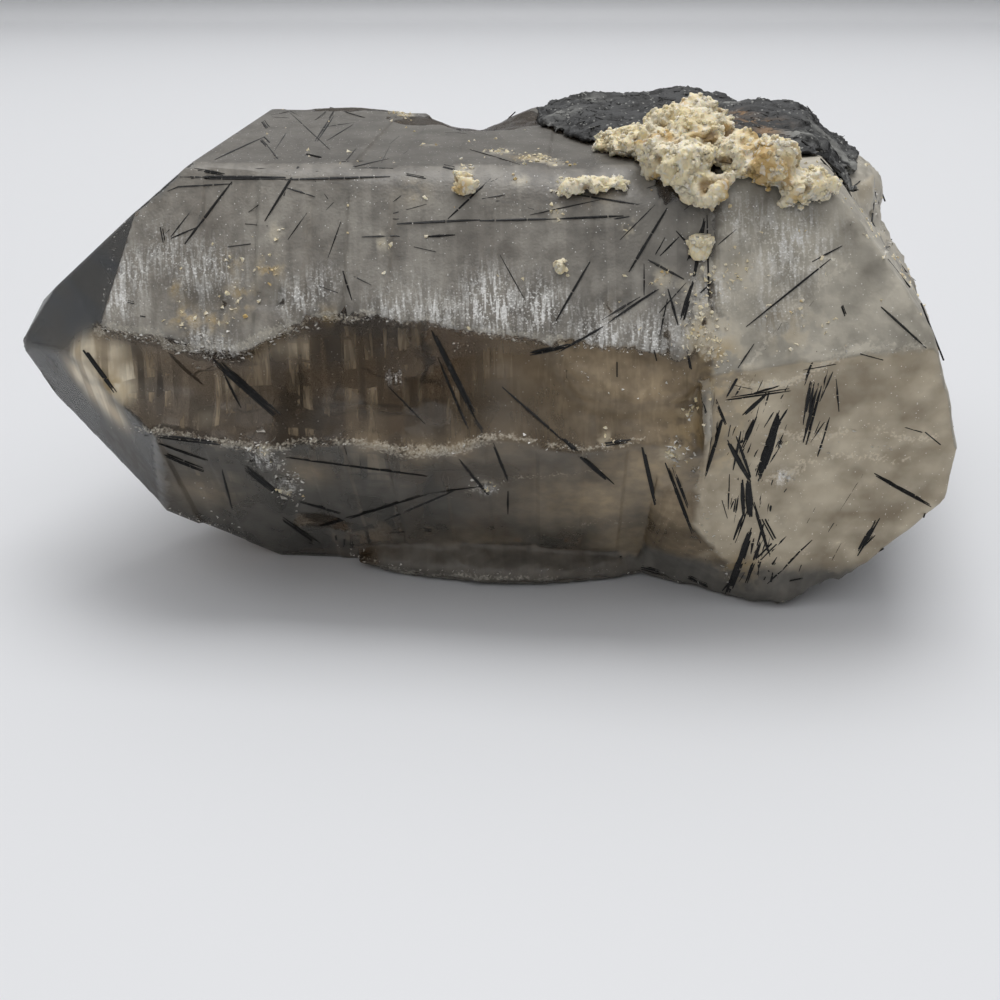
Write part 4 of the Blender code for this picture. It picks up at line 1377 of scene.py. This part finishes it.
@dataclass
class Chips:
    """Small shards of quartz along the rims of the breaks and in bruised spots."""

    sighting: Sighting
    smallest: float = 0.10
    chips_per_pixel: float = 1.8
    flatness: tuple[float, float, float] = (0.5, 0.5, 0.35)
    seed: int = 31
    trails: tuple[Trail, ...] = table(
        Trail,
        (((100, 330), (140, 336), (180, 345), (215, 354), (240, 353), (262, 342), (290, 330), (320, 322)),
         0.9, 3.5, 0.55),
        (((320, 322), (370, 318), (430, 325), (480, 335), (560, 345), (640, 352), (690, 360)), 0.4, 1.6, 0.4),
        (((185, 340), (205, 350), (230, 356)), 2.0, 8.0, 0.55),
        (((116, 427), (158, 431), (226, 443), (272, 450), (300, 441), (361, 441)), 0.35, 2.0, 0.45),
        (((361, 441), (404, 450), (452, 450), (491, 432), (582, 450), (640, 440)), 0.30, 3.0, 0.4),
        (((248, 445), (272, 458), (290, 478), (292, 500)), 2.2, 7.0, 0.7),
        (((476, 478), (494, 492)), 1.2, 5.0, 0.6), (((385, 372), (402, 380)), 0.9, 4.0, 0.45),
        (((455, 345), (470, 350)), 0.8, 4.0, 0.35),
        (((700, 392), (730, 386), (790, 385), (820, 368), (850, 350), (925, 345)), 0.25, 2.5, 0.5),
        (((692, 400), (688, 430), (690, 450), (700, 500), (715, 550), (738, 596)), 0.45, 3.0, 0.5),
        (((668, 440), (682, 460)), 1.6, 5.0, 0.8), (((800, 435), (860, 440), (900, 448)), 0.35, 7.0, 0.5),
        (((780, 472), (792, 480)), 1.4, 4.0, 0.6), (((765, 436), (782, 444)), 1.0, 3.0, 0.6),
        (((339, 560), (420, 568), (491, 573), (610, 569), (647, 577), (720, 598)), 0.25, 1.5, 0.4),
        (((120, 212), (112, 260), (100, 320)), 0.25, 1.2, 0.3), (((160, 505), (235, 538)), 0.35, 3.0, 0.5),
        (((200, 478), (215, 505)), 0.5, 4.0, 0.4), (((340, 548), (365, 560)), 0.6, 4.0, 0.5),
        (((555, 350), (572, 362), (600, 385), (640, 395), (690, 372)), 0.25, 2.5, 0.4),
        (((893, 180), (888, 215), (886, 255)), 0.5, 5.0, 0.6), (((560, 445), (600, 452)), 0.5, 3.0, 0.35),
    )

    def build(self) -> None:
        """Make every chip in one mesh."""
        chance = np.random.default_rng(self.seed)
        bm = bmesh.new()
        for trail in self.trails:
            for first, last in zip(trail.pixels, trail.pixels[1:]):
                for _ in range(round(self.chips_per_pixel * trail.crowd * math.dist(first, last))):
                    share = chance.random()
                    x = first[0] + (last[0] - first[0]) * share + chance.normal() * trail.spread
                    y = first[1] + (last[1] - first[1]) * share + chance.normal() * trail.spread
                    size = self.smallest + (trail.largest - self.smallest) * chance.random() ** 2
                    self.add_shard(bm, self.sighting.on(x, y), size * MM, chance)
        hand_over(link("edge_chips", finished(bm, "edge_chips"), ChippedQuartz().make()))

    def add_shard(self, bm: bmesh.types.BMesh, place: Vector, size: float,
                  chance: np.random.Generator) -> None:
        """Add one flat irregular shard: a stretched tetrahedron.

        Args:
            bm: the mesh it is added to.
            place: its middle.
            size: how large it is, in metres.
            chance: random numbers.
        """
        shifts = [Vector(chance.normal(size=3) * self.flatness) * size for _ in range(4)]
        corners = [bm.verts.new(place + shift) for shift in shifts]
        for first, second, third in ((0, 1, 2), (0, 3, 1), (1, 3, 2), (2, 3, 0)):
            bm.faces.new((corners[first], corners[second], corners[third]))
        middle = sum((corner.co for corner in corners), Vector()) / 4.0
        bm.normal_update()
        faces = {face for corner in corners for face in corner.link_faces}
        if any(face.normal.dot(face.calc_center_median() - middle) < 0.0 for face in faces):
            bmesh.ops.reverse_faces(bm, faces=list(faces))


# What is scattered over a surface


class Grain(Enum):
    """What is scattered: round grains or long prisms."""

    ROUND = "round"
    PRISM = "prism"


@dataclass
class Scatter:
    """A Geometry Nodes tree that scatters small shapes over a surface.

    Smallest and largest are lengths in metres, slimness is a prism's width as a share of its length, and
    ragged is how far noise shifts the points. The shapes lie along the surface, tilted out of it by up to
    tilt. Where a mask is named, it thins them out.
    """

    NOISE_SIZE: ClassVar[float] = 0.22 * MM

    name: str
    grain: Grain
    material: bpy.types.Material
    per_square_mm: float
    smallest: float
    largest: float
    mask: str = ""
    slimness: float = 0.12
    tilt: float = 0.25
    ragged: float = 0.0
    keep_base: bool = False
    seed: int = 1
    sockets: dict[str, str] = field(default_factory=dict)

    def tree(self) -> bpy.types.NodeTree:
        """Build the tree.

        Returns:
            The tree, its named sizes as inputs.
        """
        tree = bpy.data.node_groups.new(self.name, "GeometryNodeTree")
        tree.interface.new_socket("Geometry", in_out="OUTPUT", socket_type="NodeSocketGeometry")
        tree.interface.new_socket("Geometry", in_out="INPUT", socket_type="NodeSocketGeometry")
        for name in ("Density", "Smallest", "Largest", "Slimness", "Tilt", "Ragged"):
            made = tree.interface.new_socket(name, in_out="INPUT", socket_type="NodeSocketFloat")
            self.sockets[name] = made.identifier
        graph = Graph(tree)
        entry = tree.nodes.new("NodeGroupInput")
        given = {socket.name: Wire(graph, socket) for socket in entry.outputs if socket.name}
        self.fill(graph, given)
        return tree

    def fill(self, graph: Graph, given: dict[str, Wire]) -> None:
        """Add the tree's nodes.

        Args:
            graph: the tree to fill.
            given: the tree's own inputs by name.
        """
        density = given["Density"]
        if self.mask:
            density = density * graph.node(
                "GeometryNodeInputNamedAttribute", {"Name": self.mask}, "Attribute", data_type="FLOAT")
        points = graph.node("GeometryNodeDistributePointsOnFaces",
                            {"Mesh": given["Geometry"], "Density": density, "Seed": self.seed}, "Points")
        turned = Wire(graph, points.socket.node.outputs["Rotation"])
        size = self.random(graph, given["Smallest"], given["Largest"], 1)
        spin = self.random(graph, 0.0, 2.0 * math.pi, 2)
        lean = math.pi / 2.0 - self.random(graph, 0.0, 1.0, 3) * given["Tilt"]
        angles = graph.node("ShaderNodeCombineXYZ", {"X": lean, "Y": spin, "Z": spin})
        local = graph.node("FunctionNodeEulerToRotation", {"Euler": angles})
        rotation = graph.node("FunctionNodeRotateRotation", {"Rotation": turned, "Rotate By": local},
                              rotation_space="LOCAL")
        width = size * given["Slimness"] if self.grain is Grain.PRISM else size
        flat = width * self.random(graph, 0.45, 1.0, 4)
        scale = graph.node("ShaderNodeCombineXYZ", {"X": width, "Y": flat, "Z": size})
        if self.grain is Grain.PRISM:
            prism = {"Vertices": 6, "Radius": 0.5, "Depth": 1.0}
            shape = graph.node("GeometryNodeMeshCylinder", prism, "Mesh")
        else:
            shape = graph.node("GeometryNodeMeshIcoSphere", {"Radius": 0.5, "Subdivisions": 1}, "Mesh")
        placed = graph.node("GeometryNodeInstanceOnPoints",
                            {"Points": points, "Instance": shape, "Rotation": rotation, "Scale": scale})
        made = graph.node("GeometryNodeRealizeInstances", {"Geometry": placed})
        made = self.roughened(graph, made, given)
        if self.keep_base:
            joined = graph.node("GeometryNodeJoinGeometry")
            for part in (given["Geometry"], made):
                graph.tree.links.new(part.socket, joined.socket.node.inputs[0])
            made = joined
        dressed = graph.node("GeometryNodeSetMaterial", {"Geometry": made, "Material": self.material})
        graph.node("NodeGroupOutput", {"Geometry": dressed})

    def random(self, graph: Graph, low: Wire | float, high: Wire | float, seed: int) -> Wire:
        """Draw a random number for each scattered shape.

        Args:
            graph: the tree to fill.
            low: the least that the number can be.
            high: the most.
            seed: tells this draw from the others.

        Returns:
            The number.
        """
        node = graph.node("FunctionNodeRandomValue", data_type="FLOAT").socket.node
        sockets = {socket.name: socket for socket in node.inputs if socket.enabled}
        for name, value in (("Min", low), ("Max", high), ("Seed", self.seed * 10 + seed)):
            if isinstance(value, Wire):
                graph.tree.links.new(value.socket, sockets[name])
            else:
                sockets[name].default_value = value
        return Wire(graph, next(socket for socket in node.outputs if socket.enabled))

    def roughened(self, graph: Graph, made: Wire, given: dict[str, Wire]) -> Wire:
        """Shift the shapes' points by fine noise.

        Args:
            graph: the tree to fill.
            made: the shapes.
            given: the tree's own inputs by name.

        Returns:
            The shapes, ragged.
        """
        texture = graph.node("ShaderNodeTexNoise", {"Scale": 1.0 / self.NOISE_SIZE, "Detail": 1.0}, "Color")
        centred = graph.node("ShaderNodeVectorMath", {0: texture, 1: (0.5, 0.5, 0.5)}, operation="SUBTRACT")
        shift = graph.node("ShaderNodeVectorMath", {0: centred, "Scale": given["Ragged"]}, operation="SCALE")
        return graph.node("GeometryNodeSetPosition", {"Geometry": made, "Offset": shift})

    def spread_on(self, base: bpy.types.Object) -> bpy.types.Object:
        """Scatter over a piece and return the result as a plain mesh.

        Args:
            base: the piece whose surface is covered; it is removed.

        Returns:
            The new piece.
        """
        modifier = base.modifiers.new(self.name, "NODES")
        modifier.node_group = self.tree()
        values = {
            "Density": self.per_square_mm / MM ** 2, "Smallest": self.smallest, "Largest": self.largest,
            "Slimness": self.slimness, "Tilt": self.tilt, "Ragged": self.ragged,
        }
        for name, value in values.items():
            modifier[self.sockets[name]] = value
        mesh = evaluated(base)
        mesh.name = self.name
        return link(self.name, mesh)


# The black mat


@dataclass(frozen=True)
class DustyMat(Finish):
    """Felted tourmaline: dull dark grey, with black hollows, tiny pale specks and rusty stains."""

    name: str = "dusty_mat"
    black: Colour = (0.010, 0.010, 0.010)
    grey: Colour = (0.046, 0.047, 0.048)
    pale: Colour = (0.30, 0.30, 0.28)
    rust: Colour = (0.30, 0.16, 0.05)
    patch_size: float = 2.2 * MM
    speck_size: float = 0.3 * MM
    fibre_size: float = 0.35 * MM
    relief: float = 0.16 * MM

    def paint(self, graph: Graph) -> None:
        """Add the nodes: grey patches, specks and stains."""
        place = graph.place()
        patches = graph.noise(graph.place(stretch=(0.6, 1.0, 1.0)), self.patch_size, 3.0)
        specks = graph.cells(place, self.speck_size).chance().rise(0.965, 0.98)
        tone = graph.mix(patches.rise(0.36, 0.60), self.black, self.grey)
        tone = graph.mix(specks * 0.8, tone, self.pale)
        stain, pale = graph.attributes("stain", "pale")
        tone = graph.mix((stain * patches.rise(0.40, 0.55)).clamped(), tone, self.rust)
        tone = graph.mix((pale * patches.rise(0.35, 0.55)).clamped(), tone, self.pale)
        self.surface(
            graph, Base_Color=tone, Roughness=0.62,
            Normal=graph.bump(graph.noise(place, self.fibre_size, 2.0) + patches * 1.5, self.relief, 0.8))


@dataclass
class Mat:
    """The black mat over the back mass: a rough rock-like body with a few fine prisms lying on it."""

    node: bpy.types.Object
    longest_edge: float = 0.7 * MM
    stretch: tuple[float, float, float] = (0.6, 1.0, 1.0)
    boulder: float = 4.0 * MM
    pebble: float = 1.7 * MM
    lump: float = 3.0 * MM
    sharp_degrees: float = 40.0
    stains: tuple[Spot, ...] = table(Spot, (758, 120, 3.2), (740, 112, 2.0, 0.8), (770, 128, 2.2, 0.8))
    pale_spots: tuple[Spot, ...] = table(
        Spot,
        (726, 100, 1.6), (590, 100, 2.4, 0.7), (560, 112, 3.0, 0.8), (800, 130, 3.0, 0.9), (830, 140, 4.0),
        (850, 165, 4.0), (850, 190, 4.0), (548, 125, 2.0, 0.7),
    )

    def build(self) -> None:
        """Make the mat in one mesh."""
        bm = welded(self.node)
        refine(bm, self.longest_edge)
        mesh = finished(bm, "mat_base")
        points = relax(mesh, points_of(mesh), 0.4, 8)
        stretched = points * np.array(self.stretch)
        lift = 0.30 * facets(stretched, self.boulder, 5) + 0.16 * facets(stretched, self.pebble, 6)
        lift += 0.55 * smooth_noise(stretched, self.lump, 2.0, 4) - 0.35
        move_points(mesh, points + normals_of(mesh) * lift[:, None] * MM)
        keep_number(mesh, "upward", np.clip(normals_of(mesh)[:, 2], 0.0, 1.0))
        sighting = Sighting(PHOTOGRAPH, self.node)
        keep_number(mesh, "stain", spot_mask(points, sighting, self.stains))
        keep_number(mesh, "pale", spot_mask(points, sighting, self.pale_spots))
        shade(mesh, self.sharp_degrees)
        material = DustyMat().make()
        base = link("mat_base", mesh, material)
        scatter = Scatter("black_mat", Grain.PRISM, material, 0.45, 0.4 * MM, 1.6 * MM, mask="upward",
                          slimness=0.12, tilt=0.12, keep_base=True, seed=3)
        piece = scatter.spread_on(base)
        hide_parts("tourmaline_mat")
        hand_over(piece)


# The cream crust


@dataclass(frozen=True)
class SugaryFeldspar(Finish):
    """Cream crust: pale grains, yellow between them, brown in the hollows, orange in places."""

    name: str = "sugary_feldspar"
    pale: Colour = (0.98, 0.87, 0.64)
    yellow: Colour = (0.97, 0.81, 0.49)
    deep: Colour = (0.34, 0.21, 0.09)
    orange: Colour = (0.60, 0.37, 0.10)
    white: Colour = (0.95, 0.91, 0.81)
    lump_size: float = 2.4 * MM
    patch_size: float = 7.0 * MM
    grain_size: float = 0.55 * MM
    pore_size: float = 0.3 * MM
    glow: float = 1.2 * MM
    relief: float = 0.16 * MM

    def paint(self, graph: Graph) -> None:
        """Add the nodes."""
        place = graph.place()
        lumps = graph.noise(place, self.lump_size, 4.0)
        patches = graph.noise(place, self.patch_size, 2.0)
        grains = graph.cells(place, self.grain_size).chance()
        tone = graph.mix(lumps.rise(0.60, 0.40) * 0.85, self.pale, self.yellow)
        tone = graph.mix(patches.rise(0.56, 0.68) * 0.8, tone, self.orange)
        tone = graph.mix(grains.rise(0.72, 0.9) * 0.6, tone, self.white)
        tone = graph.mix(graph.attributes("hollow")[0], tone, self.deep)
        self.surface(
            graph, Base_Color=tone, Roughness=0.62 - 0.25 * grains, Subsurface_Weight=0.2,
            Subsurface_Radius=(1.0, 0.7, 0.4), Subsurface_Scale=self.glow,
            Normal=graph.bump(graph.noise(place, self.pore_size, 3.0) + grains * 0.5, self.relief, 0.8))


@dataclass
class Crust:
    """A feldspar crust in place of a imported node."""

    node: bpy.types.Object
    name: str
    material: bpy.types.Material
    voxel: float = 0.3 * MM
    lump: float = 4.0 * MM
    crystal: float = 2.6 * MM
    small_crystal: float = 1.1 * MM
    pit: float = 2.1 * MM
    sharp_degrees: float = 35.0
    seed: int = 1

    def fine_mesh(self) -> bpy.types.Mesh:
        """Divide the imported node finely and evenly.

        Returns:
            The new mesh.
        """
        source = link(self.name + "_source", finished(welded(self.node), self.name))
        remesh = source.modifiers.new("remesh", "REMESH")
        remesh.mode = "VOXEL"
        remesh.voxel_size = self.voxel
        return evaluated(source)

    def build(self) -> None:
        """Make the crust: angular crystals with pits between them, and grains on it."""
        fine = self.fine_mesh()
        points = relax(fine, points_of(fine), 0.5, 10)
        normals = normals_of(fine)
        lumps = smooth_noise(points, self.lump, self.seed, 2)
        large = facets(points, self.crystal, self.seed + 20)
        small = facets(points, self.small_crystal, self.seed + 40)
        pits = smoothstep(0.30, 0.50, smooth_noise(points, self.pit, self.seed + 9.0))
        lift = 0.6 * lumps + 0.48 * large + 0.28 * small - 0.75 * pits
        relax(fine, points + normals * lift[:, None] * MM, 0.3, 1)
        shade(fine, self.sharp_degrees)
        keep_number(fine, "hollow", 0.8 * pits * smoothstep(-0.5, 0.1, normals[:, 2]))
        base = link(self.name + "_base", fine, self.material)
        scatter = Scatter(self.name, Grain.ROUND, self.material, 0.9, 0.3 * MM, 1.0 * MM,
                          ragged=0.35 * MM, keep_base=True, seed=self.seed)
        piece = scatter.spread_on(base)
        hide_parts(self.node.name)
        hand_over(piece, points_of(self.node.data)[:, 2].max())


def loose_grains(stone: bpy.types.Object, material: bpy.types.Material) -> None:
    """Scatter cream crumbs over the stained and cream spots of the stone."""
    base = link("crumb_base", stone.data.copy())
    scatter = Scatter("loose_grains", Grain.ROUND, material, 3.2, 0.12 * MM, 0.7 * MM, mask="crumbs",
                      ragged=1.1 * MM, seed=7)
    hand_over(scatter.spread_on(base))


def hidden_needles(stone: bpy.types.Object, material: bpy.types.Material) -> None:
    """Scatter needles over the sides that the photograph doesn't show."""
    base = link("hidden_base", stone.data.copy())
    scatter = Scatter("hidden_needles", Grain.PRISM, material, 0.016, 2.0 * MM, 9.0 * MM, mask="hidden",
                      slimness=0.045, tilt=0.03, seed=11)
    hand_over(scatter.spread_on(base))


# The studio


@dataclass(frozen=True)
class Paper(Finish):
    """The plain pale floor."""

    name: str = "pale_floor"
    pale: Colour = (0.76, 0.77, 0.79)

    def paint(self, graph: Graph) -> None:
        """Add the nodes."""
        self.surface(graph, Base_Color=(*self.pale, 1.0), Roughness=0.55)


@dataclass
class Studio:
    """A pale floor that curves up into a backdrop, and soft light."""

    width: float = 4.0
    near: float = -1.5
    far: float = 0.88
    bend: float = 0.02
    wall: float = 0.3
    bend_steps: int = 8
    floor_height: float = -0.1 * MM
    brightest: tuple[float, float, float] = (0.0, 0.17, 0.985)
    sky_stops: tuple[tuple[float, Colour], ...] = (
        (0.50, (0.06, 0.058, 0.055)), (0.74, (0.26, 0.26, 0.265)), (0.93, (1.25, 1.25, 1.26)),
    )
    sky_strength: float = 0.80
    centre: Vector = Vector((0.0, 0.0, 30.0)) * MM
    bounces: dict[str, int] = field(default_factory=lambda: {
        "max_bounces": 4, "diffuse_bounces": 1, "glossy_bounces": 2, "transmission_bounces": 4,
        "transparent_max_bounces": 6,
    })

    def floor(self) -> None:
        """Make the floor and backdrop in one sheet."""
        outline = [(self.near, 0.0)]
        for step in range(self.bend_steps + 1):
            angle = math.pi / 2.0 * step / self.bend_steps
            outline.append((self.far + self.bend * math.sin(angle), self.bend * (1.0 - math.cos(angle))))
        outline.append((self.far + self.bend, self.wall))
        bm = bmesh.new()
        half = self.width / 2.0
        rows = [[bm.verts.new((x, y, z + self.floor_height)) for x in (-half, half)] for y, z in outline]
        for first, second in zip(rows, rows[1:]):
            bm.faces.new((first[0], first[1], second[1], second[0]))
        mesh = finished(bm, "floor")
        mesh.shade_smooth()
        link("floor", mesh, Paper().make())

    def softbox(self, name: str, place: Vector, size: float, power: float) -> None:
        """Add one large soft light that faces the stone.

        Args:
            name: the light's name.
            place: where it is.
            size: how wide it is, in metres.
            power: how strong it is, in watts.
        """
        data = bpy.data.lights.new(name, "AREA")
        data.shape = "RECTANGLE"
        data.size = size
        data.size_y = size * 0.7
        data.energy = power
        light = bpy.data.objects.new(name, data)
        light.location = place
        light.rotation_euler = (self.centre - place).to_track_quat("-Z", "Y").to_euler()
        bpy.context.scene.collection.objects.link(light)

    def sky(self) -> None:
        """Make the surrounding light: bright overhead and behind, grey in front and near the horizon."""
        world = bpy.data.worlds.new("surroundings")
        bpy.context.scene.world = world
        world.use_nodes = True
        world.node_tree.nodes.clear()
        graph = Graph(world.node_tree)
        direction = graph.node("ShaderNodeTexCoord", output="Generated")
        sides = {0: direction, 1: self.brightest}
        leaning = graph.node("ShaderNodeVectorMath", sides, "Value", operation="DOT_PRODUCT")
        tone = graph.node("ShaderNodeValToRGB", {"Fac": leaning * 0.5 + 0.5}, "Color", stops=self.sky_stops)
        light = graph.node("ShaderNodeBackground", {"Color": tone, "Strength": self.sky_strength})
        graph.node("ShaderNodeOutputWorld", {"Surface": light})

    def build(self) -> None:
        """Make the floor, the lights and the colour treatment."""
        self.floor()
        self.sky()
        self.softbox("overhead", Vector((0.05, 0.35, 1.25)), size=0.9, power=7.1)
        self.softbox("front", Vector((-0.25, -0.85, 0.75)), size=0.5, power=0.8)
        bpy.context.scene.view_settings.view_transform = "Standard"
        for name, count in self.bounces.items():
            setattr(bpy.context.scene.cycles, name, count)


def main() -> None:
    """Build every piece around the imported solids."""
    logging.basicConfig(level=logging.INFO, format="%(name)s: %(message)s")
    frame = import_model()
    nodes = frame["nodes"]
    PHOTOGRAPH.make_camera()
    Studio().build()
    sighting = Sighting(PHOTOGRAPH, nodes["quartz_crystal"])
    stone = Stone(nodes["quartz_crystal"], sighting).build()
    sighting = Sighting(PHOTOGRAPH, stone)
    black = BlackTourmaline().make()
    Needles(sighting, black).build()
    Mat(nodes["tourmaline_mat"]).build()
    cream = SugaryFeldspar().make()
    crusts = ("feldspar_crust", "feldspar_strip", "feldspar_bit_1", "feldspar_bit_2", "feldspar_bit_3")
    for seed, name in enumerate(crusts, start=1):
        Crust(nodes[name], name.replace("feldspar", "sugary"), cream, seed=seed).build()
    loose_grains(stone, cream)
    hidden_needles(stone, black)
    Chips(sighting).build()
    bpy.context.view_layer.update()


if __name__ == "__main__":
    main()
